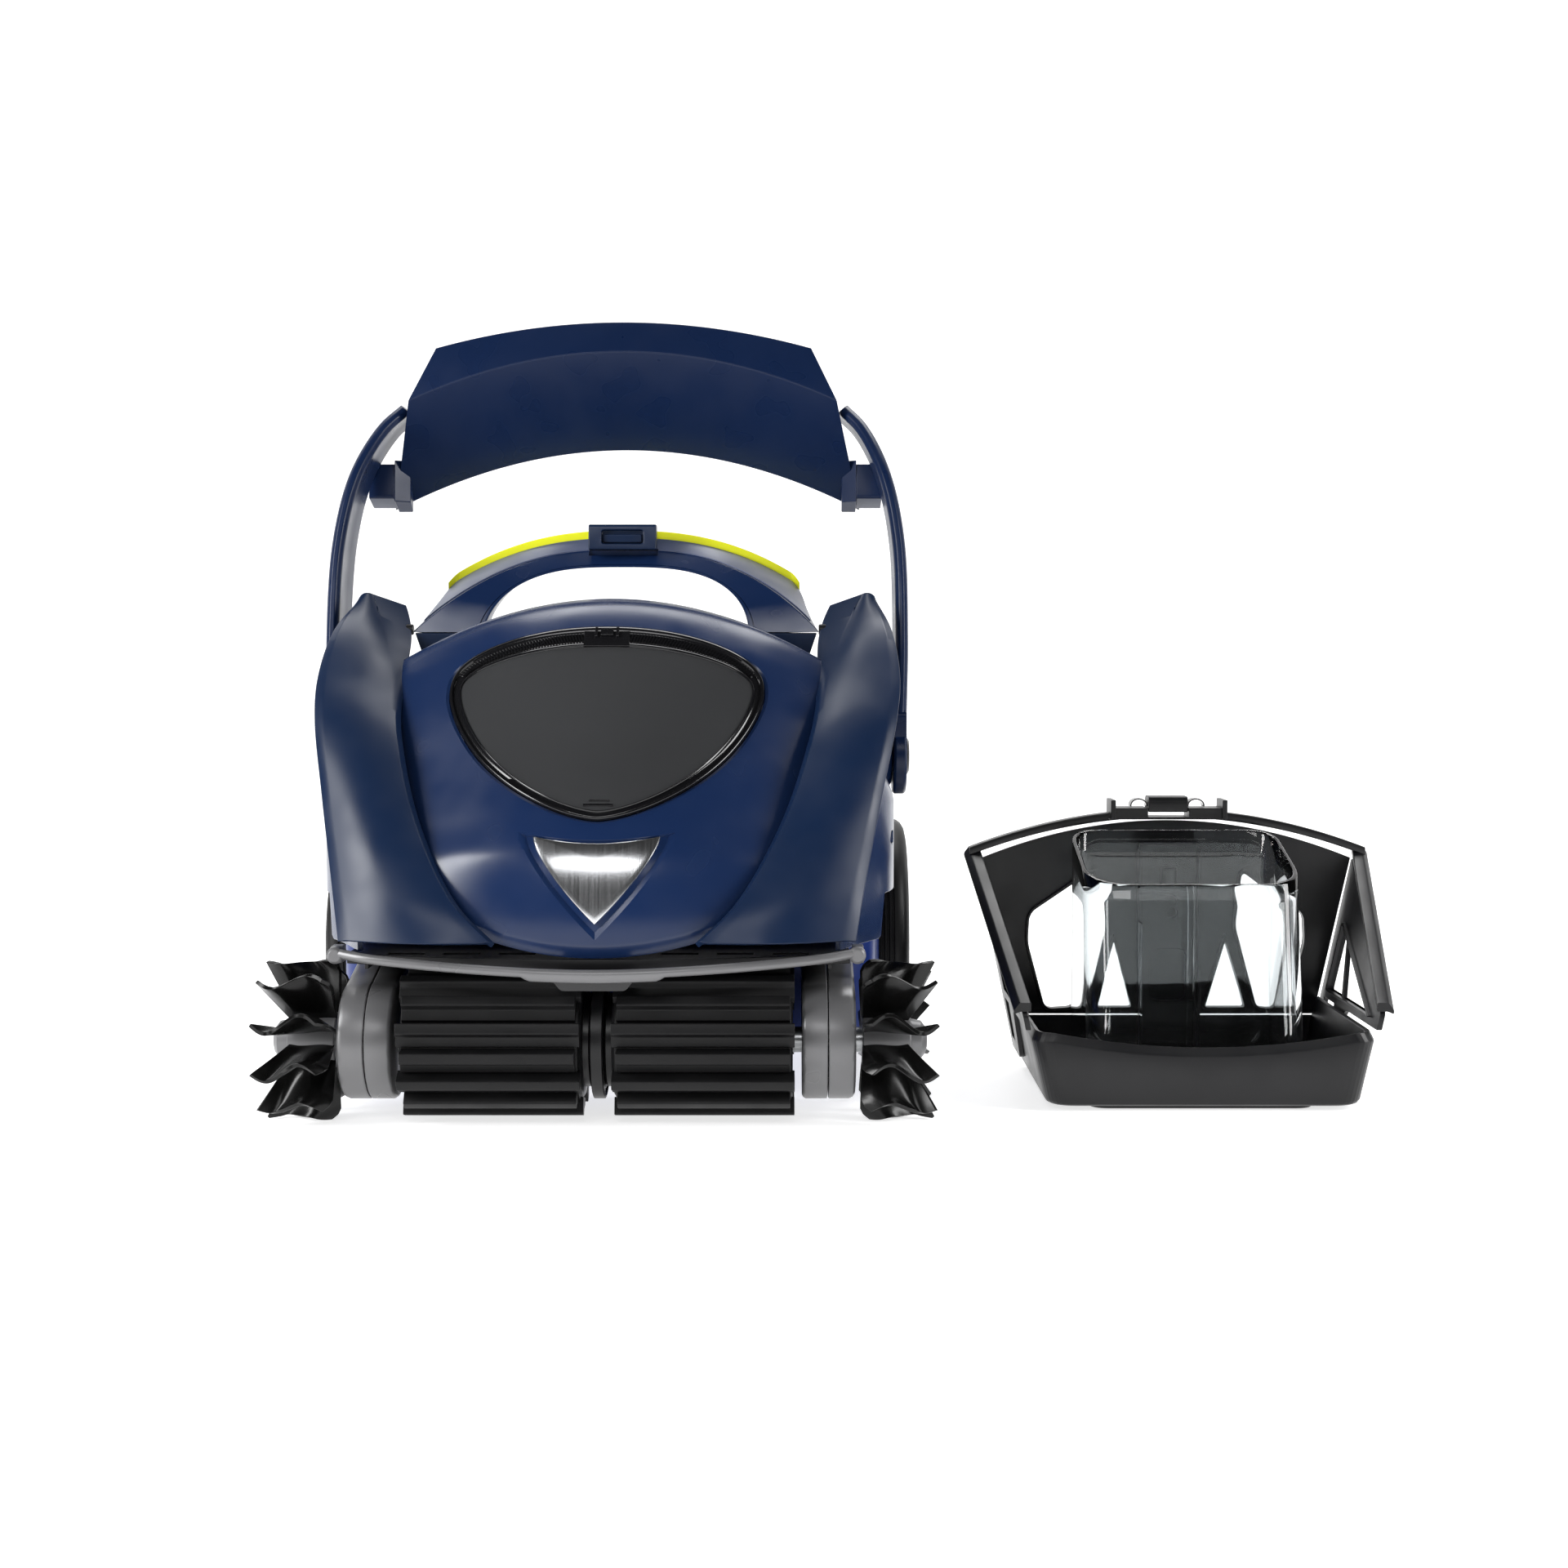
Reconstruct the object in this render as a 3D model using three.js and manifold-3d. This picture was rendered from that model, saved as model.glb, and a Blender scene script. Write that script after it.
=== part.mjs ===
// Robotic pool cleaner with its lift-out filter canister standing beside it.
// Millimetres, +Z up, +X to the cleaner's right-hand side as seen from the front, +Y to its rear.
// The cleaner is built about its own mid-plane (X = 0), its brush axis (Y = 0) and the ground (Z = 0).
// The whole set is then moved so that the origin is the bottom centre of its bounding box.
import * as THREE from "three";
import { mergeVertices } from "three/addons/utils/BufferGeometryUtils.js";
import Module from "manifold-3d";

const wasm = await Module();
wasm.setup();

// ---------- Driving dimensions ----------
const GAP = 0.4; // clearance between neighbouring pieces
const SKIN = 3; // wall of a moulded cover

const BRUSH_Z = 44; // height of the brush axis
const PADDLE_RADIUS = 43.6;
const ROLLER_RADIUS = 41.4;
const ROLLER_SPAN = [8, 106]; // from the mid-plane outwards
const CASE_SPAN = [110, 139]; // gear case
const CASE_SEAM = 124;
const PADDLE_SPAN = [143, 183];
const SHAFT_RADIUS = 7;
const RUNNING = 0.5; // radial clearance round a turning shaft

const WHEEL_Y = 189;
const WHEEL_RADIUS = 75;
const WHEEL_SPAN = [150, 176];
const RIM_RADIUS = 57;
const AXLE_RADIUS = 8;

const TUB_FLOOR_Z = 30;
const TUB_TOP_Z = 118;
const GUARD_Z = [87.6, 93]; // plate over the rollers

const HINGE_Y = 205; // hood hinge
const HINGE_Z = 212;
const HOOP_PIVOT_Y = 142;
const HOOP_PIVOT_Z = 192;
const HOOP_THICK = 8;

const PUMP_Y = 235;
const OUTLET_RADIUS = 23;

const CANISTER_X = 335; // where the canister stands beside the cleaner
const CANISTER_Y = 85;

// ---------- Materials ----------
const paint = (color, roughness, metalness = 0) =>
  new THREE.MeshStandardMaterial({ color, roughness, metalness });
const NAVY = paint(0x12244d, 0.25);
const BLUE = paint(0x12339a, 0.35);
const BLACK = paint(0x0c0d0e, 0.45);
const RUBBER = paint(0x101112, 0.75);
const SILVER = paint(0x8c8e90, 0.35, 0.6);
const CHROME = paint(0xc9cccf, 0.2, 1);
const YELLOW = paint(0xe6e61e, 0.4);
const SMOKED = paint(0x2c2e30, 0.1);
const CLEAR = paint(0xdfe4e6, 0.05);
const STEEL = paint(0xa5a8ab, 0.3, 1);

// ---------- Booleans ----------
// A closed geometry as a solid whose faces point out.
function solidOf(geometry) {
  const bare = geometry.index ? geometry.toNonIndexed() : geometry.clone();
  bare.deleteAttribute("normal");
  bare.deleteAttribute("uv");
  const merged = mergeVertices(bare, 1e-3);
  const vertProperties = merged.attributes.position.array;
  const build = (triVerts) => new wasm.Manifold(new wasm.Mesh({ numProp: 3, vertProperties, triVerts }));
  const solid = build(new Uint32Array(merged.index.array));
  return solid.volume() < 0 ? build(new Uint32Array([...merged.index.array].reverse())) : solid;
}

function geometryOf(solid) {
  const { vertProperties, triVerts } = solid.getMesh();
  const geometry = new THREE.BufferGeometry();
  geometry.setAttribute("position", new THREE.BufferAttribute(new Float32Array(vertProperties), 3));
  geometry.setIndex(new THREE.BufferAttribute(new Uint32Array(triVerts), 1));
  geometry.computeVertexNormals();
  return geometry;
}

const outward = (geometry) => geometryOf(solidOf(geometry));

function cut(geometry, ...tools) {
  return geometryOf(tools.reduce((body, tool) => body.subtract(solidOf(tool)), solidOf(geometry)));
}

function join(geometry, ...others) {
  return geometryOf(others.reduce((body, other) => body.add(solidOf(other)), solidOf(geometry)));
}

const mirrored = (geometry) => outward(geometry.clone().scale(-1, 1, 1));

// ---------- Outlines ----------
// A closed shape through [a, b, corner radius] points, each corner rounded by a curve.
function roundedShape(points) {
  const corners = points.map(([a, b, radius = 0]) => ({ at: new THREE.Vector2(a, b), radius }));
  const shape = new THREE.Shape();
  corners.forEach(({ at, radius }, i) => {
    const before = corners.at(i - 1).at;
    const after = corners[(i + 1) % corners.length].at;
    const reach = Math.min(radius, 0.45 * Math.min(at.distanceTo(before), at.distanceTo(after)));
    const start = at.clone().add(before.clone().sub(at).setLength(reach));
    const end = at.clone().add(after.clone().sub(at).setLength(reach));
    if (i === 0) shape.moveTo(start.x, start.y);
    else shape.lineTo(start.x, start.y);
    if (radius > 0) shape.quadraticCurveTo(at.x, at.y, end.x, end.y);
  });
  shape.closePath();
  return shape;
}

// The right half of an outline, front to back, with its mirror image.
const bothSides = (half) => [...half, ...half.map(([a, b, radius]) => [-a, b, radius]).reverse()];

// The outline moved inwards by a distance; its corners run anticlockwise.
function inset(points, distance) {
  return points.map(([a, b, radius = 0], i) => {
    const corner = new THREE.Vector2(a, b);
    const before = new THREE.Vector2(...points.at(i - 1).slice(0, 2));
    const after = new THREE.Vector2(...points[(i + 1) % points.length].slice(0, 2));
    const arriving = corner.clone().sub(before).normalize();
    const leaving = after.clone().sub(corner).normalize();
    const bisector = new THREE.Vector2(-arriving.y - leaving.y, arriving.x + leaving.x).normalize();
    const reach = distance / Math.max(0.3, bisector.dot(new THREE.Vector2(-leaving.y, leaving.x)));
    corner.addScaledVector(bisector, reach);
    return [corner.x, corner.y, Math.max(0, radius - distance)];
  });
}

// ---------- Prisms and turned pieces ----------
const extruded = (shape, depth, curveSegments = 3) =>
  new THREE.ExtrudeGeometry(shape, { depth, bevelEnabled: false, curveSegments });

// Outline in X and Y, from one height to another.
const prismZ = (shape, [low, high]) => extruded(shape, high - low).translate(0, 0, low);

// Outline in Y and Z, from one X to another.
function prismX(shape, [low, high], curveSegments) {
  const toYZX = new THREE.Matrix4().set(0, 0, 1, 0, 1, 0, 0, 0, 0, 1, 0, 0, 0, 0, 0, 1);
  return extruded(shape, high - low, curveSegments).applyMatrix4(toYZX).translate(low, 0, 0);
}

// Outline in X and Z, from one Y to another.
const prismY = (shape, [low, high]) => extruded(shape, high - low).rotateX(Math.PI / 2).translate(0, high, 0);

const box = (x, y, z) =>
  new THREE.BoxGeometry(x[1] - x[0], y[1] - y[0], z[1] - z[0]).translate(
    (x[0] + x[1]) / 2,
    (y[0] + y[1]) / 2,
    (z[0] + z[1]) / 2,
  );

// Turned about the X axis from [x, radius] points that start and end on the axis or close on themselves.
function turnedX(profile, segments) {
  const points = profile.map(([x, radius]) => new THREE.Vector2(radius, x));
  return outward(new THREE.LatheGeometry(points, segments).rotateZ(-Math.PI / 2));
}

// Turned about the Z axis from [z, radius] points.
function turnedZ(profile, segments) {
  const points = profile.map(([z, radius]) => new THREE.Vector2(radius, z));
  return outward(new THREE.LatheGeometry(points, segments).rotateX(Math.PI / 2));
}

const rodProfile = (radius, [from, to]) => [[from, 0], [from, radius], [to, radius], [to, 0]];
const rodX = (radius, span, segments = 20) => turnedX(rodProfile(radius, span), segments);
const rodZ = (radius, span, segments = 20) => turnedZ(rodProfile(radius, span), segments);

// A disc with a hole, about the X axis or the Z axis.
const ringProfile = (outer, inner, [from, to]) =>
  [[from, inner], [from, outer], [to, outer], [to, inner], [from, inner]];
const ringX = (outer, inner, span, segments = 32) => turnedX(ringProfile(outer, inner, span), segments);
const ringZ = (outer, inner, span, segments = 32) => turnedZ(ringProfile(outer, inner, span), segments);

// ---------- Sheets and lofts ----------
function meshFrom(points, faces) {
  const geometry = new THREE.BufferGeometry().setFromPoints(points);
  geometry.setIndex(faces.flat());
  return outward(geometry);
}

const fourth = (a, b, c, d) => [[a, b, c], [a, c, d]];

// A closed sheet: rows of points on its outer face, and the same rows moved inwards along the normals.
function thickSheet(rows, thickness) {
  const last = rows.length - 1;
  const width = rows[0].length;
  const at = (i, j) => rows[Math.min(last, Math.max(0, i))][Math.min(width - 1, Math.max(0, j))];
  const inner = rows.map((row, i) =>
    row.map((point, j) => {
      const along = at(i + 1, j).clone().sub(at(i - 1, j));
      const across = at(i, j + 1).clone().sub(at(i, j - 1));
      return point.clone().addScaledVector(along.cross(across).normalize(), -thickness);
    }),
  );
  const points = [...rows.flat(), ...inner.flat()];
  const index = (i, j, side) => side * rows.length * width + i * width + j;
  const faces = [];
  for (let i = 0; i < last; i += 1) {
    for (let j = 0; j < width - 1; j += 1) {
      faces.push(...fourth(index(i, j, 0), index(i + 1, j, 0), index(i + 1, j + 1, 0), index(i, j + 1, 0)));
      faces.push(...fourth(index(i, j, 1), index(i, j + 1, 1), index(i + 1, j + 1, 1), index(i + 1, j, 1)));
    }
  }
  const rim = [];
  for (let j = 0; j < width - 1; j += 1) rim.push([0, j]);
  for (let i = 0; i < last; i += 1) rim.push([i, width - 1]);
  for (let j = width - 1; j > 0; j -= 1) rim.push([last, j]);
  for (let i = last; i > 0; i -= 1) rim.push([i, 0]);
  rim.forEach(([i, j], k) => {
    const [p, q] = rim[(k + 1) % rim.length];
    faces.push(...fourth(index(i, j, 0), index(p, q, 0), index(p, q, 1), index(i, j, 1)));
  });
  return meshFrom(points, faces);
}

// A closed solid through convex sections, each with the same number of points.
function loft(sections) {
  const count = sections[0].length;
  const faces = [];
  for (let i = 0; i < sections.length - 1; i += 1) {
    for (let j = 0; j < count; j += 1) {
      const next = (j + 1) % count;
      faces.push(...fourth(i * count + j, i * count + next, (i + 1) * count + next, (i + 1) * count + j));
    }
  }
  const top = (sections.length - 1) * count;
  for (let j = 1; j < count - 1; j += 1) {
    faces.push([0, j + 1, j]);
    faces.push([top, top + j, top + j + 1]);
  }
  return meshFrom(sections.flat(), faces);
}

const steps = (count) => Array.from({ length: count + 1 }, (_, i) => i / count);
const mix = (a, b, t) => a + (b - a) * t;
const ramp = (value, from, to) => THREE.MathUtils.smoothstep(value, from, to);
const vector = (x, y, z) => new THREE.Vector3(x, y, z);
const curveThrough = (points) =>
  new THREE.CatmullRomCurve3(points.map((p) => vector(...p)), false, "centripetal");

// ---------- Assembly helpers ----------
const cleaner = new THREE.Group();

function piece(name, geometry, material, parent = cleaner) {
  const mesh = new THREE.Mesh(geometry, material);
  mesh.name = name;
  parent.add(mesh);
  return mesh;
}

// The same piece on both sides, built for the right and mirrored for the left.
function pair(name, geometry, material, parent = cleaner) {
  piece(`${name}_right`, geometry, material, parent);
  piece(`${name}_left`, mirrored(geometry), material, parent);
}

function groupAt(x, y, z, parent = cleaner) {
  const group = new THREE.Group();
  group.position.set(x, y, z);
  parent.add(group);
  return group;
}

// ---------- Hood: a bonnet profile that is bowed back towards its sides ----------
const HOOD_HALF_WIDTH = 117;
const HOOD_BOW = 0.0024; // setback per square millimetre from the mid-plane
const HOOD_LIP_RISE = 0.0025; // rise of the bottom edge towards the sides
const hoodProfile = curveThrough([
  [0, -36, 93.5],
  [0, -35, 120],
  [0, -28, 148],
  [0, -11, 172],
  [0, 13, 205],
  [0, 37, 240],
  [0, 61, 268],
  [0, 86, 285],
  [0, 112, 284],
  [0, 150, 264],
  [0, 182, 234],
  [0, 194, 214],
]);
const HOOD_LENGTH = hoodProfile.getLength();

// A point of the hood: X, the distance along the profile from its lower lip, and the depth under the skin.
function hoodPoint(x, distance, depth = 0) {
  const t = THREE.MathUtils.clamp(distance / HOOD_LENGTH, 0, 1);
  const point = hoodProfile.getPointAt(t);
  const tangent = hoodProfile.getTangentAt(t);
  const setback = HOOD_BOW * x * x + depth;
  return vector(x, point.y + tangent.z * setback, point.z - tangent.y * setback);
}

function hoodShell() {
  const rows = steps(12).map((s) => {
    const x = mix(-HOOD_HALF_WIDTH, HOOD_HALF_WIDTH, s);
    const start = HOOD_LIP_RISE * x * x;
    return steps(19).map((t) => hoodPoint(x, mix(start, HOOD_LENGTH, t)));
  });
  return thickSheet(rows, SKIN);
}

// A plate that follows the hood: rings of an outline about a centre, between two depths.
function hoodPlate(outline, centre, [inner, outer], [shallow, deep], spokes = 28) {
  const rings = inner > 0 ? [inner, outer] : [0.5, 1].map((r) => r * outer);
  const place = (ring, k, depth) => {
    const [x, distance] = outline((2 * Math.PI * k) / spokes);
    return hoodPoint(ring * x, centre + ring * (distance - centre), depth);
  };
  const points = [];
  [shallow, deep].forEach((depth) => {
    rings.forEach((ring) => {
      for (let k = 0; k < spokes; k += 1) points.push(place(ring, k, depth));
    });
  });
  const index = (side, ring, k) => (side * rings.length + ring) * spokes + (k % spokes);
  const faces = [];
  for (let k = 0; k < spokes; k += 1) {
    for (let r = 0; r < rings.length - 1; r += 1) {
      faces.push(...fourth(index(0, r, k), index(0, r, k + 1), index(0, r + 1, k + 1), index(0, r + 1, k)));
      faces.push(...fourth(index(1, r, k), index(1, r + 1, k), index(1, r + 1, k + 1), index(1, r, k + 1)));
    }
    const edge = rings.length - 1;
    faces.push(...fourth(index(0, edge, k), index(0, edge, k + 1), index(1, edge, k + 1), index(1, edge, k)));
    if (inner > 0) {
      faces.push(...fourth(index(0, 0, k), index(1, 0, k), index(1, 0, k + 1), index(0, 0, k + 1)));
    } else {
      faces.push([points.length, index(0, 0, k + 1), index(0, 0, k)]);
      faces.push([points.length + 1, index(1, 0, k), index(1, 0, k + 1)]);
    }
  }
  if (inner === 0) points.push(hoodPoint(0, centre, shallow), hoodPoint(0, centre, deep));
  return meshFrom(points, faces);
}

// Shield-shaped window: a flat-topped upper half and a pointed lower half, both superellipses.
const WINDOW_CENTRE = 172; // along the hood profile from its lower lip
const WINDOW = { halfWidth: 91, up: 36, down: 97, upPower: 2.8, downPower: 1.6 };
const WINDOW_SCALE = { opening: 0.985, frameOuter: 0.98, frameInner: 0.9, lens: 0.895 };
const THROUGH_SKIN = [-6, 12]; // depths of a tool that cuts through the hood
function windowOutline(angle) {
  const [c, s] = [Math.cos(angle), Math.sin(angle)];
  const power = s > 0 ? WINDOW.upPower : WINDOW.downPower;
  const height = s > 0 ? WINDOW.up : WINDOW.down;
  const bend = (value) => Math.sign(value) * Math.abs(value) ** (2 / power);
  return [WINDOW.halfWidth * bend(c), WINDOW_CENTRE + height * bend(s)];
}

// Badge: a small shield with a hollow top edge and bowed sides that meet in a point.
const BADGE_CENTRE = 52;
const BADGE_SPOKES = 24;
const BADGE_RECESS = { scale: 1.15, depth: 1.6 };
const BADGE = { halfWidth: 34, top: 68, dip: 6, tip: 18, bow: 1.5 };
function badgeOutline(angle) {
  const turn = (angle / (2 * Math.PI)) * 3;
  const halfTop = (t) => [BADGE.halfWidth * t, BADGE.top - BADGE.dip * (1 - t * t)];
  const side = (t) => BADGE.halfWidth * (1 - t ** BADGE.bow);
  const drop = (t) => mix(BADGE.top, BADGE.tip, t);
  if (turn < 1) return halfTop(1 - 2 * turn);
  if (turn < 2) return [-side(turn - 1), drop(turn - 1)];
  return [side(3 - turn), drop(3 - turn)];
}

function buildHood() {
  const hood = groupAt(0, 0, 0);
  const window = (rings, depths) => hoodPlate(windowOutline, WINDOW_CENTRE, rings, depths);
  const badge = (scale, depths) => hoodPlate(badgeOutline, BADGE_CENTRE, [0, scale], depths, BADGE_SPOKES);
  const opening = window([0, WINDOW_SCALE.opening], THROUGH_SKIN);
  const recess = badge(BADGE_RECESS.scale, [THROUGH_SKIN[0], BADGE_RECESS.depth]);
  const notchHalf = LATCH.halfWidth + 1.5 * GAP;
  const latchNotch = box([-notchHalf, notchHalf], LATCH.notchY, LATCH.notchZ);
  const knuckles = [hoodKnuckle(), mirrored(hoodKnuckle())];
  piece("hood_shell", join(cut(hoodShell(), opening, recess), ...knuckles), NAVY, hood);
  piece("window_frame", window([WINDOW_SCALE.frameInner, WINDOW_SCALE.frameOuter], [-1.5, 7]), BLACK, hood);
  piece("window_lens", window([0, WINDOW_SCALE.lens], [0.5, 4]), SMOKED, hood);
  piece("badge", badge(1, [-0.6, BADGE_RECESS.depth - GAP]), CHROME, hood);
  pair("wing", wing(), NAVY, hood);
  piece("hood_handle", cut(handleArch(), latchNotch), NAVY, hood);
  piece("handle_trim", handleTrim(), YELLOW, hood);
  piece("latch_button", latchButton(), BLACK, hood);
}

// ---------- Wings: swept fenders between an inner ridge and an outer edge ----------
const wingRidge = curveThrough([
  [57, -36, 101],
  [78, -28, 121],
  [103, 3, 163],
  [119, 42, 208],
  [125, 76, 235],
  [135, 107, 262],
  [149, 137, 288],
]);
const wingOuter = curveThrough([
  [136, -21, 101],
  [141, -10, 128],
  [152, 18, 178],
  [161, 45, 217],
  [164, 68, 240],
  [161, 97, 266],
  [152.5, 136, 287],
]);

function wing() {
  const rows = steps(12).map((t) => {
    const ridge = wingRidge.getPointAt(t);
    const outer = wingOuter.getPointAt(t);
    const swell = mix(9, 2, t);
    const flank = ramp(t, 0.62, 1);
    const tuck = vector(mix(-2, -20, flank), mix(3, 4, flank), mix(-2, -7, flank));
    const across = steps(5).map((s) => {
      const point = ridge.clone().lerp(outer, s);
      point.y -= swell * Math.sin(Math.PI * s) * 0.75;
      point.z += swell * Math.sin(Math.PI * s) * 0.45 * t;
      return point;
    });
    const lip = outer.clone().add(vector(-1.5, mix(12, 3, t), mix(0, -6, t)));
    return [ridge.clone().add(tuck), ...across, lip];
  });
  return thickSheet(rows, SKIN);
}

// ---------- Handle arch on the hood ----------
const ARCH_FOOT = { y: 122, z: 267, halfWidth: 121.5 };
const ARCH_RISE = 85; // along the lean
const ARCH_LEAN = { y: 0.8, z: 0.6 };
const ARCH_OPENING = { halfWidth: 79, rise: 66.8 };
const ARCH_BACK = { y: 198, crest: 326, drop: 27, shoulder: 106 };

const onLean = (x, rise) => vector(x, ARCH_FOOT.y + ARCH_LEAN.y * rise, ARCH_FOOT.z + ARCH_LEAN.z * rise);

// Front-top, back-top, back-bottom and front-bottom corners of the arch at a turn from foot to foot.
function archCorners(turn) {
  const [c, s] = [Math.cos(turn), Math.sin(turn)];
  const frontX = ARCH_FOOT.halfWidth * Math.sign(c) * Math.abs(c) ** 0.8;
  const frontTop = onLean(frontX, ARCH_RISE * (1 - Math.abs(frontX / ARCH_FOOT.halfWidth) ** 2.6));
  const openX = ARCH_OPENING.halfWidth * Math.sign(c) * Math.abs(c) ** (2 / 3);
  const frontBottom = onLean(openX, ARCH_OPENING.rise * s);
  const backX = 0.96 * frontX;
  const backRise = ARCH_BACK.drop * Math.abs(backX / ARCH_BACK.shoulder) ** 2.4;
  const reach = ramp(s, 0, 0.5);
  const backTop = vector(backX, mix(frontTop.y + 14, ARCH_BACK.y, reach), ARCH_BACK.crest - backRise);
  backTop.z = mix(frontTop.z + 2, backTop.z, reach);
  const backBottom = frontBottom.clone().add(vector(0, mix(12, 16, s), mix(-4, 5, s)));
  return { frontTop, backTop, backBottom, frontBottom };
}

function handleArch() {
  const sections = steps(22).map((t) => {
    const { frontTop, backTop, backBottom, frontBottom } = archCorners(Math.PI * t);
    return [frontTop, backTop, backBottom, frontBottom];
  });
  return loft(sections);
}

// The yellow trim lies against the back of the arch and stands a little above it.
function handleTrim() {
  const sections = steps(24).map((t) => {
    const { backTop } = archCorners(Math.PI * mix(0.12, 0.88, t));
    const low = backTop.clone().add(vector(0, 0, -9));
    const shift = GAP + 0.6;
    return [
      backTop.clone().add(vector(0, shift, 3)),
      backTop.clone().add(vector(0, shift + 5, 1.5)),
      low.clone().add(vector(0, shift + 6, 0)),
      low.clone().add(vector(0, shift + 1.5, 0)),
    ];
  });
  return loft(sections);
}

const LATCH = { halfWidth: 21, y: [176, 190.5], z: [318.4, 334], notchY: [150, 191], notchZ: [315, 340] };
const LATCH_CAVITY = { x: [-13, 13], y: [170, 181], z: [321.5, 330] };

function latchButton() {
  const outline = roundedShape([
    [LATCH.y[0], LATCH.z[0], 1],
    [LATCH.y[1], LATCH.z[0], 1],
    [LATCH.y[1], LATCH.z[1], 3],
    [LATCH.y[0] + 2, LATCH.z[1], 2],
  ]);
  const block = prismX(outline, [-LATCH.halfWidth, LATCH.halfWidth]);
  return cut(block, box(LATCH_CAVITY.x, LATCH_CAVITY.y, LATCH_CAVITY.z));
}

const KNUCKLE_SPAN = [92, 108];
const PIN_RADIUS = 3.3;
function hoodKnuckle() {
  const tongue = roundedShape([
    [166, 198],
    [HINGE_Y + 4, HINGE_Z - 7, 5],
    [HINGE_Y + 5, HINGE_Z + 7, 5],
    [174, 214],
  ]);
  const bore = rodX(PIN_RADIUS + GAP, [80, 120]).translate(0, HINGE_Y, HINGE_Z);
  return cut(prismX(tongue, KNUCKLE_SPAN), bore);
}

// ---------- Carry hoop: two blades and a visor-shaped crossbar ----------
const hoopLine = curveThrough([
  [170, 144, 214],
  [171, 150, 264],
  [169.5, 166, 323],
  [162, 181, 363],
  [149, 203, 393],
  [137, 216, 407],
]);
const HOOP_DEPTH = 46;
const HOOP_FOOT = [166, 174]; // across the foot, outside the side panel
const HOOP_STUD = 6; // radius of the stud the foot turns on

function hoopArm() {
  const sections = steps(10).map((t) => {
    const centre = hoopLine.getPointAt(t);
    const tangent = hoopLine.getTangentAt(t);
    const out = vector(tangent.z, 0, -tangent.x).normalize();
    const depth = HOOP_DEPTH / 2 - 4 * Math.abs(t - 0.4);
    const corner = (side, back, thick) =>
      centre.clone().addScaledVector(out, (side * thick) / 2).add(vector(0, back * depth, 0));
    return [
      corner(1, -0.85, HOOP_THICK),
      corner(1, 0.85, HOOP_THICK),
      corner(0.4, 1, HOOP_THICK),
      corner(-0.4, 1, HOOP_THICK),
      corner(-1, 0.85, HOOP_THICK),
      corner(-1, -0.85, HOOP_THICK),
      corner(-0.4, -1, HOOP_THICK),
      corner(0.4, -1, HOOP_THICK),
    ];
  });
  const foot = rodX(HOOP_DEPTH / 2, HOOP_FOOT, 24).translate(0, HOOP_PIVOT_Y, HOOP_PIVOT_Z);
  const neck = box([HOOP_FOOT[0] + 0.2, HOOP_FOOT[1] - 0.2], [123, 163], [HOOP_PIVOT_Z, 216]);
  const bore = rodX(HOOP_STUD + GAP, [150, 190]).translate(0, HOOP_PIVOT_Y, HOOP_PIVOT_Z);
  return cut(join(loft(sections), foot, neck, hoopLug()), bore, crossbar(GAP));
}

// Crossbar: an upper face, a ridge and a lower face that slopes back, all bowed down at the ends.
const CROSSBAR = [
  { halfWidth: 117, y: 196, z: 461, sag: 16 },
  { halfWidth: 133, y: 185, z: 441, sag: 30 },
  { halfWidth: 148.5, y: 224, z: 383, sag: 38 },
];
const CROSSBAR_SKIN = 6;
function crossbar(grow = 0) {
  const rows = steps(12).map((t) => {
    const s = mix(-1, 1, t);
    const edges = CROSSBAR.map((edge) => vector(edge.halfWidth * s, edge.y, edge.z - edge.sag * s * s));
    const [top, ridge, bottom] = edges;
    return [top, ridge.clone().lerp(top, 0.15), ridge, ridge.clone().lerp(bottom, 0.5), bottom];
  });
  const grown = rows.map((row) => row.map((point) => point.clone().add(vector(0, -grow, grow))));
  return thickSheet(grown, -CROSSBAR_SKIN - 2 * grow);
}

// The lug ties the lower end of the crossbar to the arm.
function hoopLug() {
  const outline = roundedShape([
    [204, 352, 2],
    [222, 346, 2],
    [226, 366, 2],
    [208, 374, 2],
  ]);
  return prismX(outline, [143, 162]);
}

function hoopPivot() {
  const root = 143.5;
  const shoulder = HOOP_FOOT[0] - GAP;
  const end = HOOP_FOOT[1] - 0.6;
  const profile = [
    [root, 0],
    [root, 20],
    [shoulder - 3.6, 20],
    [shoulder, 17],
    [shoulder, HOOP_STUD],
    [end, HOOP_STUD],
    [end, 0],
  ];
  return turnedX(profile, 20).translate(0, HOOP_PIVOT_Y, HOOP_PIVOT_Z);
}

function buildHoop() {
  const hoop = groupAt(0, 0, 0);
  pair("hoop_arm", hoopArm(), NAVY, hoop);
  piece("hoop_crossbar", crossbar(), NAVY, hoop);
}

// ---------- Chassis ----------
const TUB_OUTLINE = bothSides([
  [128, 46, 10],
  [152, 60, 14],
  [157, 108, 4],
  [145.5, 112, 2],
  [145.5, 238, 16],
  [118, 262, 16],
]);
const INTAKE = { x: [-95, 95], y: [78, 110] };

function chassisTub() {
  const outer = prismZ(roundedShape(TUB_OUTLINE), [TUB_FLOOR_Z, TUB_TOP_Z]);
  const hollow = prismZ(roundedShape(inset(TUB_OUTLINE, SKIN)), [TUB_FLOOR_Z + SKIN, TUB_TOP_Z + 1]);
  const intake = box(INTAKE.x, INTAKE.y, [TUB_FLOOR_Z - 1, TUB_FLOOR_Z + SKIN + 1]);
  const axleHole = rodX(AXLE_RADIUS + 1, [-200, 200]).translate(0, WHEEL_Y, WHEEL_RADIUS);
  return cut(outer, hollow, intake, axleHole);
}

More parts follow.
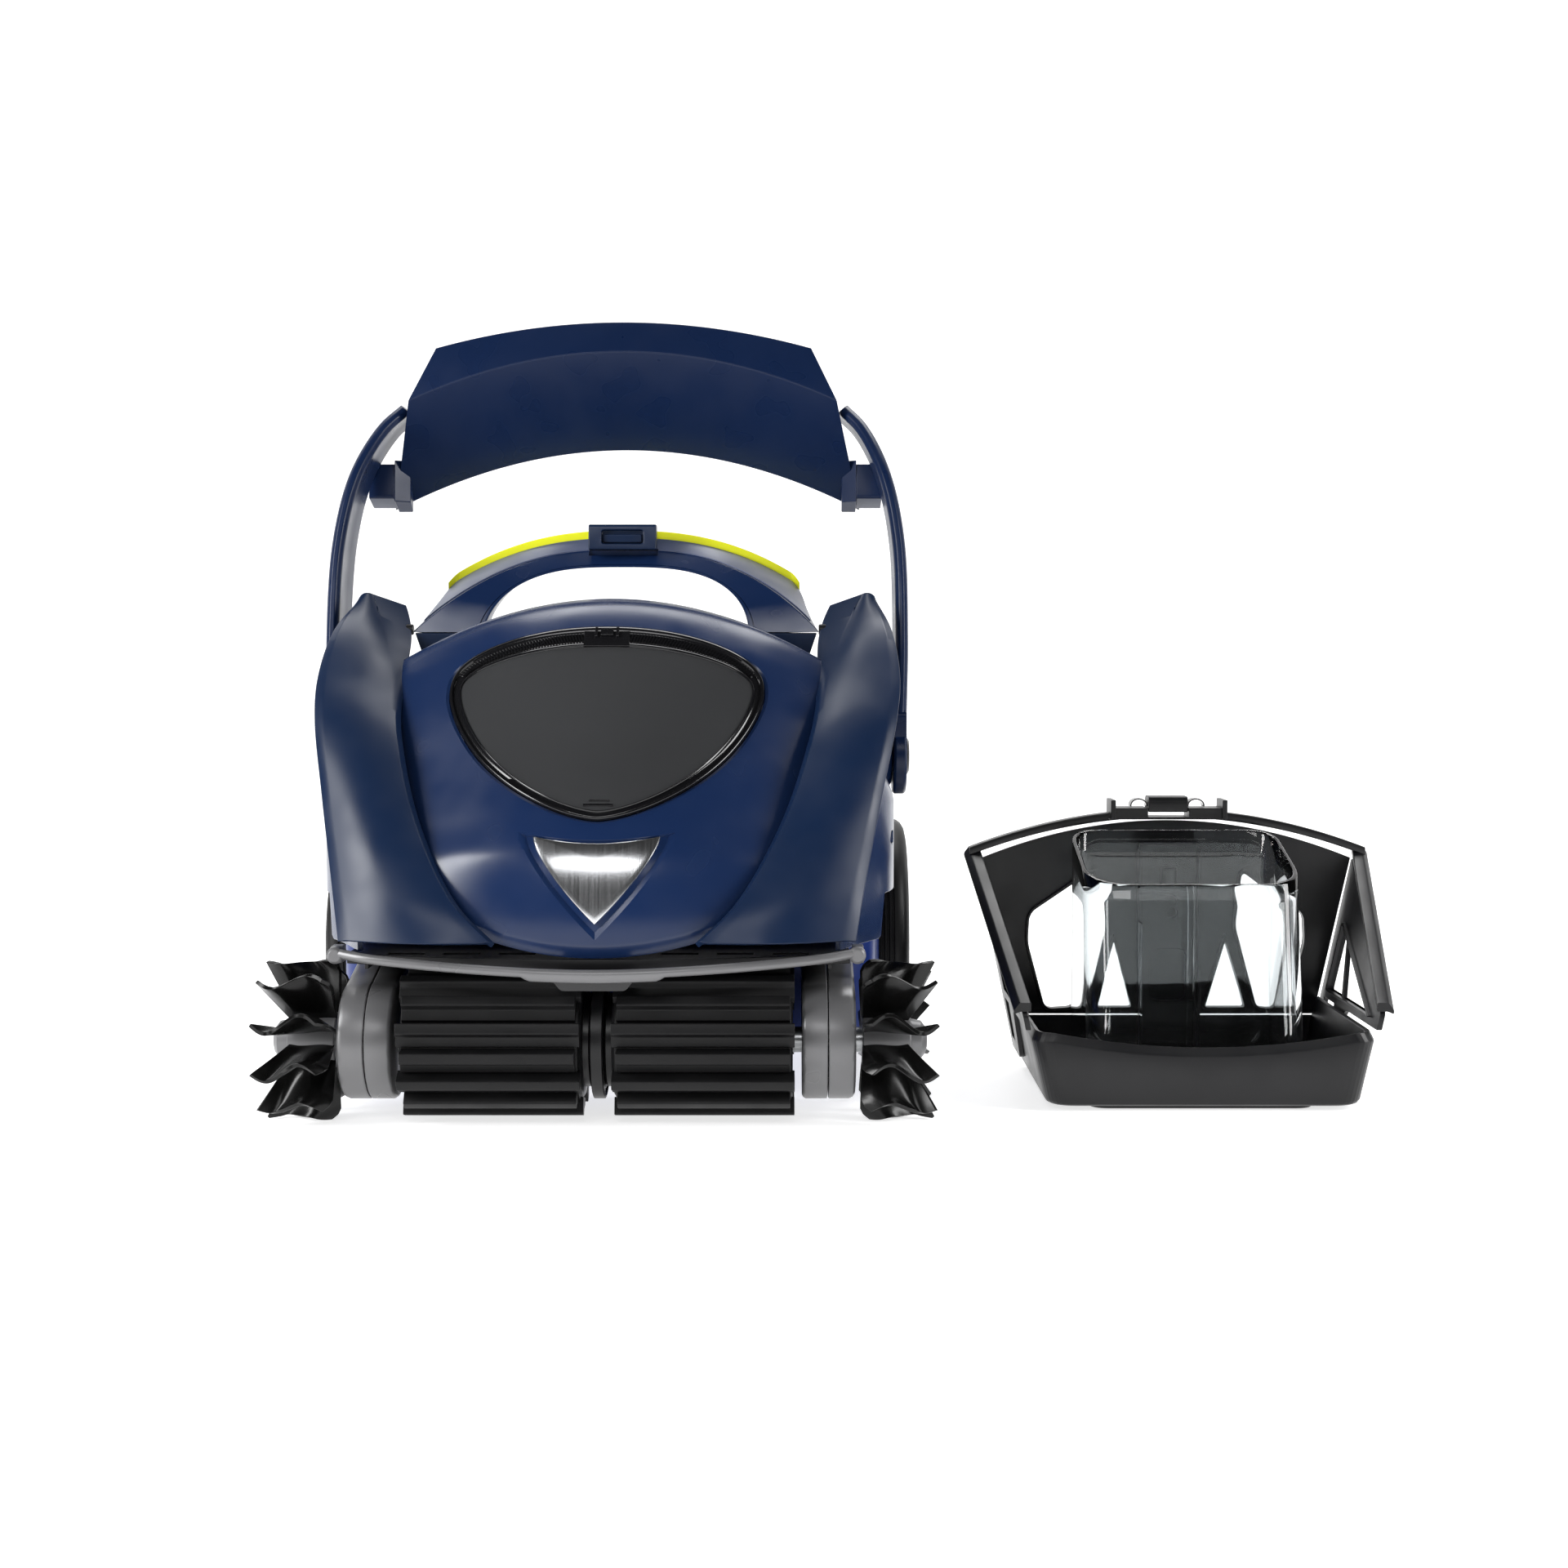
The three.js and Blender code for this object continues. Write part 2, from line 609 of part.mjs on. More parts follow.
// A collar round the intake with two rails behind it; the filter canister stands on both.
const THROAT = { wall: 6, top: 42, railX: [54, 60], railEnd: 178 };
function intakeThroat() {
  const z = [TUB_FLOOR_Z + SKIN + GAP, THROAT.top];
  const around = ([low, high]) => [low - THROAT.wall, high + THROAT.wall];
  const rail = box(THROAT.railX, [INTAKE.y[1] + THROAT.wall - 1, THROAT.railEnd], z);
  const collar = join(box(around(INTAKE.x), around(INTAKE.y), z), rail, mirrored(rail));
  return cut(collar, box(INTAKE.x, INTAKE.y, [TUB_FLOOR_Z, THROAT.top + 1]));
}

const GUARD = { halfWidth: 136, back: 45.5, side: -12, bulge: -58, slotX: [-104, -74, -44, 44, 74, 104] };
function frontGuard() {
  const outline = new THREE.Shape();
  outline.moveTo(-GUARD.halfWidth, GUARD.back);
  outline.lineTo(-GUARD.halfWidth, GUARD.side);
  outline.quadraticCurveTo(0, GUARD.bulge, GUARD.halfWidth, GUARD.side);
  outline.lineTo(GUARD.halfWidth, GUARD.back);
  outline.closePath();
  const slots = GUARD.slotX.map((x) => box([x - 10, x + 10], [-16, -9], [80, 110]));
  return cut(prismZ(outline, GUARD_Z), ...slots);
}

// Side panel: a skin that flares out ahead of the wheel, passes inside it and tucks in under the wing.
function sidePanel() {
  const rows = steps(11).map((t) => {
    const y = mix(-8, 210, t);
    const low = y < 46 ? 94 : TUB_TOP_Z + 1;
    const high = mix(112, 256, ramp(y, -60, 116)) - mix(0, 50, ramp(y, 130, 205));
    return steps(4).map((s) => {
      const z = mix(low, high, s);
      const base = mix(104, 151, ramp(y, -90, 60)) - mix(0, 6, ramp(y, 98, 116));
      const flare = 13 * ramp(y, 10, 80) * (1 - ramp(y, 92, 112)) * (1 - ramp(z, 168, 204));
      return vector(base + flare, y, z);
    });
  });
  return thickSheet(rows, SKIN);
}

function rearShell() {
  const outline = [
    [213, TUB_TOP_Z + GAP, 2],
    [258, TUB_TOP_Z + GAP, 2],
    [264, 150, 14],
    [256, 200, 16],
    [213, 206, 6],
  ];
  const ends = [-141, 141];
  const outer = prismX(roundedShape(outline), ends);
  const hollow = prismX(roundedShape(inset(outline, SKIN)), [ends[0] + SKIN, ends[1] - SKIN]);
  const mouth = box([-134, 134], [217, 254], [TUB_TOP_Z - 5, TUB_TOP_Z + 8]);
  const outlet = rodZ(OUTLET_RADIUS - 2, [180, 220], 28).translate(0, PUMP_Y, 0);
  return cut(outer, hollow, mouth, outlet);
}

function outletGrille() {
  const plate = rodZ(OUTLET_RADIUS - 2.6, [196.5, 199], 28);
  const slots = [-12, -6, 0, 6, 12].map((x) => box([x - 2, x + 2], [-14, 14], [190, 205]));
  return cut(plate, ...slots).translate(0, PUMP_Y, 0);
}

function hingeBracket() {
  const ear = roundedShape([
    [HINGE_Y - 6, HINGE_Z - 6, 4],
    [214, 194],
    [215, HINGE_Z - 8],
    [HINGE_Y + 4, HINGE_Z + 7, 5],
    [HINGE_Y - 6, HINGE_Z + 6, 5],
  ]);
  const ears = [[84, 91.5], [108.5, 116]].map((span) => prismX(ear, span));
  const bore = rodX(PIN_RADIUS + 0.2, [80, 120]).translate(0, HINGE_Y, HINGE_Z);
  const web = box([84, 116], [211, 215], [190, 200]);
  return cut(join(web, ...ears), bore);
}

function buildChassis() {
  piece("chassis_tub", chassisTub(), BLUE);
  piece("intake_throat", intakeThroat(), BLACK);
  piece("front_guard", frontGuard(), BLACK);
  pair("side_panel", join(sidePanel(), hoopPivot()), NAVY);
  piece("rear_shell", join(rearShell(), hingeBracket(), mirrored(hingeBracket())), NAVY);
  piece("outlet_grille", outletGrille(), BLACK);
  pair("hinge_pin", rodX(PIN_RADIUS, [84, 116], 20).translate(0, HINGE_Y, HINGE_Z), STEEL);
  piece("control_box", outward(box([-68, 68], [218, 256], [36, 108])), BLACK);
  piece("cable_gland", cableGland(), BLACK);
  buildPump();
  buildBumper();
}

function cableGland() {
  const gland = turnedZ([[0, 0], [0, 9], [8, 9], [10, 7], [22, 5.5], [22, 3.5], [4, 3.5], [4, 0]], 20);
  return gland.rotateX(-Math.PI / 2).translate(96, 264.6, 92);
}

const PUMP_PROFILE = [[109, 0], [109, 16], [150, 16], [152, 5], [163, 5], [163, 0]];
function buildPump() {
  const pump = groupAt(0, PUMP_Y, 0);
  piece("pump_motor", turnedZ(PUMP_PROFILE, 24), STEEL, pump);
  piece("impeller", impeller(), BLACK, pump);
}

const IMPELLER_BLADES = 6;
function impeller() {
  const hub = turnedZ([[165, 0], [165, 6], [177, 6], [181, 3], [181, 0]], 12);
  const plate = ringZ(16.5, 5, [165, 167], 18);
  const blades = steps(IMPELLER_BLADES - 1).map((_, k) =>
    box([4, 16.3], [-0.9, 0.9], [166, 178]).rotateZ((2 * Math.PI * k) / IMPELLER_BLADES),
  );
  return join(plate, hub, ...blades);
}

// Bumper: a round bar bowed ahead of the rollers, its two end brackets and the release tab below it.
function buildBumper() {
  const path = curveThrough([
    [-138, -25, 95],
    [-120, -33, 93],
    [-60, -44.5, 89],
    [0, -48, 87],
    [60, -44.5, 89],
    [120, -33, 93],
    [138, -25, 95],
  ]);
  const section = new THREE.Shape().absarc(0, 0, 2.6, 0, 2 * Math.PI);
  const bar = new THREE.ExtrudeGeometry(section, { steps: 20, extrudePath: path, curveSegments: 4 });
  const bracket = box([136.6, 144], [-28, -10], [88, 98]);
  piece("bumper_bar", join(outward(bar), bracket, mirrored(bracket)), SILVER);
  const tab = roundedShape([[-22, 84, 1], [-17, 78, 2], [17, 78, 2], [22, 84, 1]]);
  piece("release_tab", prismY(tab, [-47, -30]), BLACK);
}

// ---------- Gear cases: a drum with a stub arm, in two halves ----------
const PINION = { y: 24, z: 18 }; // from the brush axis
const CASE_HALF_ANGLE = 0.95;

// The outline of a drum and a smaller drum on the arm, joined by straight flanks.
function caseShape(wall) {
  const reach = { y: 33, z: 28 };
  const lean = Math.atan2(reach.z, reach.y);
  const shape = new THREE.Shape();
  shape.absarc(0, 0, 32 - wall, lean + CASE_HALF_ANGLE, lean - CASE_HALF_ANGLE + 2 * Math.PI);
  shape.absarc(reach.y, reach.z, 12 - wall, lean - CASE_HALF_ANGLE, lean + CASE_HALF_ANGLE);
  shape.closePath();
  return shape;
}

function caseHalf([from, to], floorAtStart) {
  const hollow = floorAtStart ? [from + SKIN, to + 1] : [from - 1, to - SKIN];
  const bore = rodX(SHAFT_RADIUS + RUNNING, [100, 150]);
  return cut(prismX(caseShape(0), [from, to], 8), prismX(caseShape(SKIN), hollow, 8), bore);
}

// Straight-sided teeth on a blank with a bore; one tooth points along the given angle.
const GEAR_MODULE = 2;
function gear(teeth, bore, span, toothAt) {
  const pitch = (GEAR_MODULE * teeth) / 2;
  const tip = pitch + 0.8 * GEAR_MODULE;
  const root = pitch - 1.25 * GEAR_MODULE;
  const each = (2 * Math.PI) / teeth;
  const corners = [[-0.26, root], [-0.11, tip], [0.11, tip], [0.26, root]];
  const shape = new THREE.Shape();
  for (let k = 0; k < teeth; k += 1) {
    corners.forEach(([part, radius], i) => {
      const angle = toothAt + (k + part) * each;
      const [y, z] = [radius * Math.cos(angle), radius * Math.sin(angle)];
      if (k === 0 && i === 0) shape.moveTo(y, z);
      else shape.lineTo(y, z);
    });
  }
  shape.closePath();
  return cut(prismX(shape, span), rodX(bore, [0, 200], 18));
}

// ---------- Brushes: shaft, ribbed roller, gear, wavy paddle and cap ----------
const ROLLER_RIBS = 16;
const ROLLER_GROOVE = 8;
function roller() {
  const shape = new THREE.Shape();
  const each = (2 * Math.PI) / ROLLER_RIBS;
  const corners = [
    [0, ROLLER_RADIUS - ROLLER_GROOVE],
    [0.06, ROLLER_RADIUS],
    [0.34, ROLLER_RADIUS],
    [0.62, ROLLER_RADIUS - ROLLER_GROOVE / 2],
  ];
  for (let k = 0; k < ROLLER_RIBS; k += 1) {
    corners.forEach(([part, radius], i) => {
      const angle = (k + part) * each;
      const [y, z] = [radius * Math.cos(angle), radius * Math.sin(angle)];
      if (k === 0 && i === 0) shape.moveTo(y, z);
      else shape.lineTo(y, z);
    });
  }
  shape.closePath();
  return cut(prismX(shape, ROLLER_SPAN), rodX(SHAFT_RADIUS + GAP, [0, 120]));
}

const PADDLE_BLADES = 10;
const BLADE = { root: 12, thick: 2.6, wave: 5, inner: PADDLE_SPAN[0], outer: PADDLE_SPAN[1], slant: 16 };

// One blade: S-shaped along the axis, its outer end cut back towards the hub.
function paddleBlade() {
  const sections = steps(5).map((t) => {
    const sway = BLADE.wave * Math.sin(2 * Math.PI * t);
    const edge = (radius, side) => {
      const share = (radius - BLADE.root) / (PADDLE_RADIUS - BLADE.root);
      const end = mix(BLADE.outer - BLADE.slant, BLADE.outer, share);
      const push = sway * share + (side * BLADE.thick) / 2;
      return vector(mix(BLADE.inner, end, t), push, Math.sqrt(radius * radius - push * push));
    };
    const foot = BLADE.root - 3;
    return [edge(foot, -1), edge(foot, 1), edge(PADDLE_RADIUS, 1), edge(PADDLE_RADIUS, -1)];
  });
  return loft(sections);
}

function paddle() {
  const hub = ringX(15, SHAFT_RADIUS + GAP, [PADDLE_SPAN[0], PADDLE_SPAN[1] - 14], PADDLE_BLADES);
  const each = (2 * Math.PI) / PADDLE_BLADES;
  const blades = steps(PADDLE_BLADES - 1).map((_, k) => paddleBlade().rotateX(k * each));
  return cut(join(hub, ...blades), rodX(SHAFT_RADIUS + GAP, [100, 190], 18));
}

// A stepped flange next to the centre bearing, the plain shaft, and a cap outside the paddle.
const SHAFT_PROFILE = [
  [0.6, 0],
  [0.6, 6.5],
  [4, 6.5],
  [4, 25],
  [7.5, 25],
  [7.5, SHAFT_RADIUS],
  [169.6, SHAFT_RADIUS],
  [169.6, 11],
  [175, 10],
  [178, 5],
  [178, 0],
];

function buildBrushes() {
  const axis = groupAt(0, 0, BRUSH_Z);
  const meshAngle = Math.atan2(PINION.z, PINION.y);
  const seamed = CASE_SEAM + GAP;
  pair("gearcase_inner", caseHalf([CASE_SPAN[0], CASE_SEAM], true), SILVER, axis);
  pair("gearcase_outer", caseHalf([seamed, CASE_SPAN[1]], false), SILVER, axis);
  const gearSpan = [CASE_SEAM - 5, CASE_SEAM + 5];
  pair("brush_gear", gear(20, SHAFT_RADIUS + GAP, gearSpan, meshAngle + Math.PI / 20), BLACK, axis);
  pair("drive_pinion", drivePinion(gearSpan, meshAngle + Math.PI), BLACK, axis);
  pair("brush_shaft", turnedX(SHAFT_PROFILE, 18), STEEL, axis);
  pair("roller", roller(), RUBBER, axis);
  pair("paddle", paddle(), RUBBER, axis);
  piece("centre_bearing", centreBearing(), BLACK, axis);
}

function drivePinion(span, toothAt) {
  const wheel = gear(10, 2, span, toothAt);
  const stub = rodX(3, [CASE_SPAN[0] + SKIN + 1, CASE_SPAN[1] - SKIN - 1], 16);
  return join(wheel, stub).translate(0, PINION.y, PINION.z);
}

function centreBearing() {
  const plate = rodX(32, [-3.4, 3.4], 36);
  const hanger = box([-3, 3], [-9, 20], [0, GUARD_Z[0] - BRUSH_Z - GAP]);
  return cut(join(plate, hanger), rodX(6.5 + RUNNING, [-20, 20]));
}

// ---------- Wheels ----------
function tyre() {
  const [from, to] = WHEEL_SPAN;
  const profile = [
    [from, RIM_RADIUS + GAP],
    [from, WHEEL_RADIUS - 7],
    [from + 3, WHEEL_RADIUS - 2],
    [from + 8, WHEEL_RADIUS],
    [to - 8, WHEEL_RADIUS],
    [to - 3, WHEEL_RADIUS - 2],
    [to, WHEEL_RADIUS - 7],
    [to, RIM_RADIUS + GAP],
    [from, RIM_RADIUS + GAP],
  ];
  return turnedX(profile, 28);
}

function rim() {
  const [from, to] = WHEEL_SPAN;
  const disc = turnedX(
    [
      [from, AXLE_RADIUS + GAP],
      [from, RIM_RADIUS],
      [to - 1, RIM_RADIUS],
      [to - 7, RIM_RADIUS - 7],
      [to - 7, 20],
      [to, 16],
      [to, AXLE_RADIUS + GAP],
      [from, AXLE_RADIUS + GAP],
    ],
    26,
  );
  const windows = steps(4).map((_, k) =>
    rodX(9, [140, 190], 8).translate(0, 0, 35).rotateX((2 * Math.PI * k) / 5),
  );
  return cut(disc, ...windows);
}

// Drive motor, from beside the filter bay to the wall of the tub.
const MOTOR_PROFILE = [[106, 0], [106, 18], [128, 20], [140.6, 20], [140.6, 0]];

function buildWheels() {
  const axis = groupAt(0, WHEEL_Y, WHEEL_RADIUS);
  pair("tyre", tyre(), RUBBER, axis);
  pair("rim", rim(), BLACK, axis);
  pair("axle", rodX(AXLE_RADIUS, [WHEEL_SPAN[0] - 9, WHEEL_SPAN[1] - 3]), STEEL, axis);
  pair("drive_motor", turnedX(MOTOR_PROFILE, 24), STEEL, axis);
}

// ---------- Filter canister: a scoop-shaped tray, ribbed frames and a clear cup ----------
const TRAY = { bottom: 88, top: 96, front: -68, back: 65, floor: 3, rim: 44, lowBack: 32 };
const MOUTH = { x: [-50, 50], y: [-48, -16] }; // inlet in the tray floor, over the intake when seated
const FOOT = [[-64, -60, 12], [64, -60, 12], [64, 55, 12], [-64, 55, 12]];
const BACK = { halfWidth: 117, corner: 129, centre: 152, y: [66, 69] };

function canisterTray() {
  const outline = (half, z, grow) => {
    const points = [
      [-half, TRAY.back],
      [-half, TRAY.front + 10],
      [-half + 10, TRAY.front],
      [half - 10, TRAY.front],
      [half, TRAY.front + 10],
      [half, TRAY.back],
    ];
    return points.map(([x, y]) => vector(x - Math.sign(x) * grow, y - Math.sign(y) * grow, z));
  };
  const outer = loft([outline(TRAY.bottom, TRAY.floor, 0), outline(TRAY.top, TRAY.rim, 0)]);
  const hollowFloor = outline(TRAY.bottom, TRAY.floor + SKIN, SKIN);
  const hollow = loft([hollowFloor, outline(TRAY.top + 0.5, TRAY.rim + 1, SKIN)]);
  const dip = new THREE.Shape();
  dip.moveTo(-80, TRAY.rim + 2);
  dip.quadraticCurveTo(0, TRAY.rim - 16, 80, TRAY.rim + 2);
  dip.closePath();
  const backSpan = [TRAY.back - SKIN - 1, TRAY.back + 1];
  const lowBack = box([-TRAY.top - 1, TRAY.top + 1], backSpan, [TRAY.lowBack, TRAY.rim + 1]);
  const foot = prismZ(roundedShape(FOOT), [0, TRAY.floor + 1]);
  const mouth = box(MOUTH.x, MOUTH.y, [-1, TRAY.floor + SKIN + 1]);
  return cut(join(outer, foot), hollow, prismY(dip, [-75, -60]), lowBack, mouth);
}

function canisterBack() {
  const wall = new THREE.Shape();
  const foot = TRAY.bottom + 4;
  wall.moveTo(-foot, TRAY.lowBack + GAP);
  wall.lineTo(foot, TRAY.lowBack + GAP);
  wall.lineTo(BACK.halfWidth - 4, BACK.corner);
  wall.quadraticCurveTo(0, 2 * BACK.centre - BACK.corner, -BACK.halfWidth + 4, BACK.corner);
  wall.closePath();
  const outlines = [
    [[57, 37, 4], [74, 36, 5], [85, 77, 5], [84, 95, 5], [46, 121, 5], [42, 87, 5]],
    [[49, 37, 2], [36, 78, 2], [24, 37, 2]],
  ];
  const openings = outlines.flatMap((points) =>
    [-1, 1].map((side) => prismY(roundedShape(points.map(([x, z, r]) => [side * x, z, r])), [60, 75])),
  );
  return cut(prismY(wall, BACK.y), ...openings);
}

// Side frame: a wall that leans out with height, with a large triangular opening and a tail behind the tray.
function canisterSide() {
  const backEdge = BACK.y[1];
  const wall = roundedShape([
    [TRAY.front + 8, TRAY.rim + GAP, 1],
    [10, TRAY.rim + GAP, 6],
    [28, 12, 4],
    [backEdge, 12, 1],
    [backEdge, BACK.corner, 3],
    [TRAY.front + 8, TRAY.rim + 10, 3],
  ]);
  const openings = [
    [[-40, 50, 2], [52, 50, 2], [50, 90, 3]],
    [[34, 44, 2], [40, 20, 2], [58, 20, 2], [58, 44, 2]],
  ].map((points) => prismX(roundedShape(points), [-5, 10]));
  const flat = cut(prismX(wall, [0, SKIN]), ...openings);
  const position = flat.getAttribute("position");
  for (let i = 0; i < position.count; i += 1) {
    const above = position.getZ(i) - TRAY.rim;
    const climb = above < 0 ? TRAY.top - TRAY.bottom : BACK.halfWidth - TRAY.top - SKIN;
    const span = above < 0 ? TRAY.rim - TRAY.floor : BACK.corner - TRAY.rim;
    position.setX(i, position.getX(i) + TRAY.top + GAP + (above / span) * climb);
  }
  return outward(flat);
}

// Clear cup: an upright sleeve whose front leans back and whose rim climbs towards the back.
const CUP = { halfWidth: 62, frontLow: -60, frontHigh: -30, back: 50, wall: 2.4, low: 6.5 };
const CUP_RIM = { front: 125, back: 148 };
function canisterCup() {
  const outline = (front, grow, z) => {
    const corners = [
      [CUP.halfWidth - grow, front + grow, 26],
      [CUP.halfWidth - grow, CUP.back - grow, 18],
      [-CUP.halfWidth + grow, CUP.back - grow, 18],
      [-CUP.halfWidth + grow, front + grow, 26],
    ];
    const rounded = roundedShape(corners).getPoints(4).slice(0, -1);
    return rounded.map((point) => vector(point.x, point.y, z));
  };
  const sleeve = (grow, low, high) =>
    loft([outline(CUP.frontLow, grow, low), outline(CUP.frontHigh, grow, high)]);
  const slope = roundedShape([
    [CUP.frontHigh - 12, CUP_RIM.front - 2],
    [CUP.back + 5, CUP_RIM.back],
    [CUP.back + 5, 190],
    [CUP.frontHigh - 12, 190],
  ]);
  const outer = sleeve(0, CUP.low, CUP_RIM.back + 1);
  const inner = sleeve(CUP.wall, CUP.low - 1, CUP_RIM.back + 2);
  return cut(outer, inner, prismX(slope, [-80, 80]));
}

function canisterSpine() {
  const rib = box([-18, 18], [57, TRAY.back - SKIN - GAP], [TRAY.floor + SKIN + GAP, 137]);
  const boss = rodZ(5, [112, 124], 12).translate(0, 57, 0);
  const slot = roundedShape([[-11, 42, 6], [11, 42, 6], [11, 74, 6], [-11, 74, 6]]);
  return cut(join(rib, boss), prismY(slot, [50, 70]));
}

const TOP_BAR = { halfWidth: 34, y: [59, 77], low: BACK.centre + 1, high: 160, tabHigh: 165, tabHalf: 1.5 };
const CANISTER_LATCH = { halfWidth: 12, y: [60, 76], z: [157.4, 167] };
function canisterTopBar() {
  const bar = box([-TOP_BAR.halfWidth, TOP_BAR.halfWidth], TOP_BAR.y, [TOP_BAR.low, TOP_BAR.high]);
  const tabs = [-1, 1].map((side) => {
    const x = side * TOP_BAR.halfWidth;
    return box([x - TOP_BAR.tabHalf, x + TOP_BAR.tabHalf], [57, 77], [TOP_BAR.low, TOP_BAR.tabHigh]);
  });
  const seatHalf = CANISTER_LATCH.halfWidth + 0.5;
  const seat = box([-seatHalf, seatHalf], [50, 80], [CANISTER_LATCH.z[0] - 3, 170]);
  return cut(join(bar, ...tabs), seat);
}

function canisterLatch() {
  const { halfWidth, y, z } = CANISTER_LATCH;
  return outward(box([-halfWidth, halfWidth], y, z));
}

function canisterRim() {
  const rails = [-1, 1].map((side) => {
    const sections = steps(1).map((t) => {
      const x = side * mix(TRAY.top + 3.6, BACK.halfWidth + 0.5, t);
      const y = mix(TRAY.front + 8, BACK.y[1], t);
      const z = mix(TRAY.rim + 11, BACK.corner + 2, t);
      return [[-3, 0], [3, 0], [3, 5], [-3, 5]].map(([a, b]) => vector(x + a, y, z + b));
    });
    return loft(sections);
  });
  const crown = new THREE.Shape();
  const lift = 1.8;
  crown.moveTo(-BACK.halfWidth - 5, BACK.corner + lift);
  crown.quadraticCurveTo(0, 2 * BACK.centre - BACK.corner + 1, BACK.halfWidth + 5, BACK.corner + lift);
  crown.lineTo(BACK.halfWidth + 5, BACK.corner + lift + 5);
  crown.quadraticCurveTo(0, 2 * BACK.centre - BACK.corner + 6, -BACK.halfWidth - 5, BACK.corner + lift + 5);
  crown.closePath();
  const arch = prismY(crown, [63, 71]);
  const barHalf = TOP_BAR.halfWidth + 2;
  return cut(join(arch, ...rails), box([-barHalf, barHalf], [50, 80], [BACK.centre + 0.6, 170]));
}

function buildCanister() {
  const canister = groupAt(CANISTER_X, CANISTER_Y, 0);
  piece("canister_tray", canisterTray(), BLACK, canister);
  piece("canister_back", canisterBack(), BLACK, canister);
  pair("canister_side", canisterSide(), BLACK, canister);
  piece("canister_rim", canisterRim(), BLACK, canister);
  piece("canister_cup", canisterCup(), CLEAR, canister);
  piece("canister_spine", canisterSpine(), BLACK, canister);
  piece("canister_top_bar", canisterTopBar(), BLACK, canister);
  piece("canister_latch", canisterLatch(), BLACK, canister);
}

buildChassis();
buildBrushes();
buildWheels();
buildHood();
buildHoop();
buildCanister();

// Stand the set with the bottom centre of its bounding box at the origin.
const bounds = new THREE.Box3().setFromObject(cleaner);
cleaner.position.set(-(bounds.min.x + bounds.max.x) / 2, -(bounds.min.y + bounds.max.y) / 2, -bounds.min.z);

export default cleaner;
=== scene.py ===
# The looks of a robotic pool cleaner and its lift-out filter canister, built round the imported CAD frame.
# Shapes are made in millimetres in the cleaner's own frame: X = 0 on its mid-plane, Y = 0 on its brush axis.
import bisect
from math import atan2, cos, pi, radians, sin, sqrt, tau

import bmesh
import bpy
from mathutils import Matrix, Vector


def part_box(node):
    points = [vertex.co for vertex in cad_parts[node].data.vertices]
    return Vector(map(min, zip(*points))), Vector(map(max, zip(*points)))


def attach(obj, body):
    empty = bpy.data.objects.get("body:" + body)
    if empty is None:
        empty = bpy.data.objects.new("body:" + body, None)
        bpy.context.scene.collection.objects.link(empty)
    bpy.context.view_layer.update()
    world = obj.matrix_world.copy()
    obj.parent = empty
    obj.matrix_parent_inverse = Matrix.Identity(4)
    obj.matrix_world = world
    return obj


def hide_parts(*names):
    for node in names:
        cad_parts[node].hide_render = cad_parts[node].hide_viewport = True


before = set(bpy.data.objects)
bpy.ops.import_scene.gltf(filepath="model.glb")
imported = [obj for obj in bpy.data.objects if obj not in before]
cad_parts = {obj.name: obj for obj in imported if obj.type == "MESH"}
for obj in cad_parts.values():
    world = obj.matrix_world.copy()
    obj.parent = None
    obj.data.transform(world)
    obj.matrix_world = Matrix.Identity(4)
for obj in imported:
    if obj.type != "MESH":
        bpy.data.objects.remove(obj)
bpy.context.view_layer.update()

MM = 0.001


def middle(node):
    low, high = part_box(node)
    return (low + high) / 2


CANISTER_BACK_Y = 66  # front face of the canister's back wall, from the canister's own origin
CLEANER = Vector((middle("centre_bearing").x, middle("roller_right").y, 0))
CANISTER = Vector((middle("canister_spine").x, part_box("canister_back")[0].y - CANISTER_BACK_Y * MM, 0))


# ---------- Camera ----------
def add_camera(side=0.1003, distance=1.1805, height=0.2604, pitch=3.7, lens=50):
    data = bpy.data.cameras.new("camera")
    data.lens = lens
    data.sensor_width = 36
    camera = bpy.data.objects.new("camera", data)
    camera.location = CLEANER + Vector((side, -distance, height))
    camera.rotation_euler = (radians(90 - pitch), 0, 0)
    bpy.context.scene.collection.objects.link(camera)
    bpy.context.scene.camera = camera


add_camera()


# ---------- Numbers and curves ----------
def mix(a, b, t):
    return a + (b - a) * t


def ramp(value, low, high):
    t = min(1.0, max(0.0, (value - low) / (high - low)))
    return t * t * (3 - 2 * t)


def steps(count):
    return [i / count for i in range(count + 1)]


def signed_power(value, exponent):
    return (1 if value >= 0 else -1) * abs(value) ** exponent


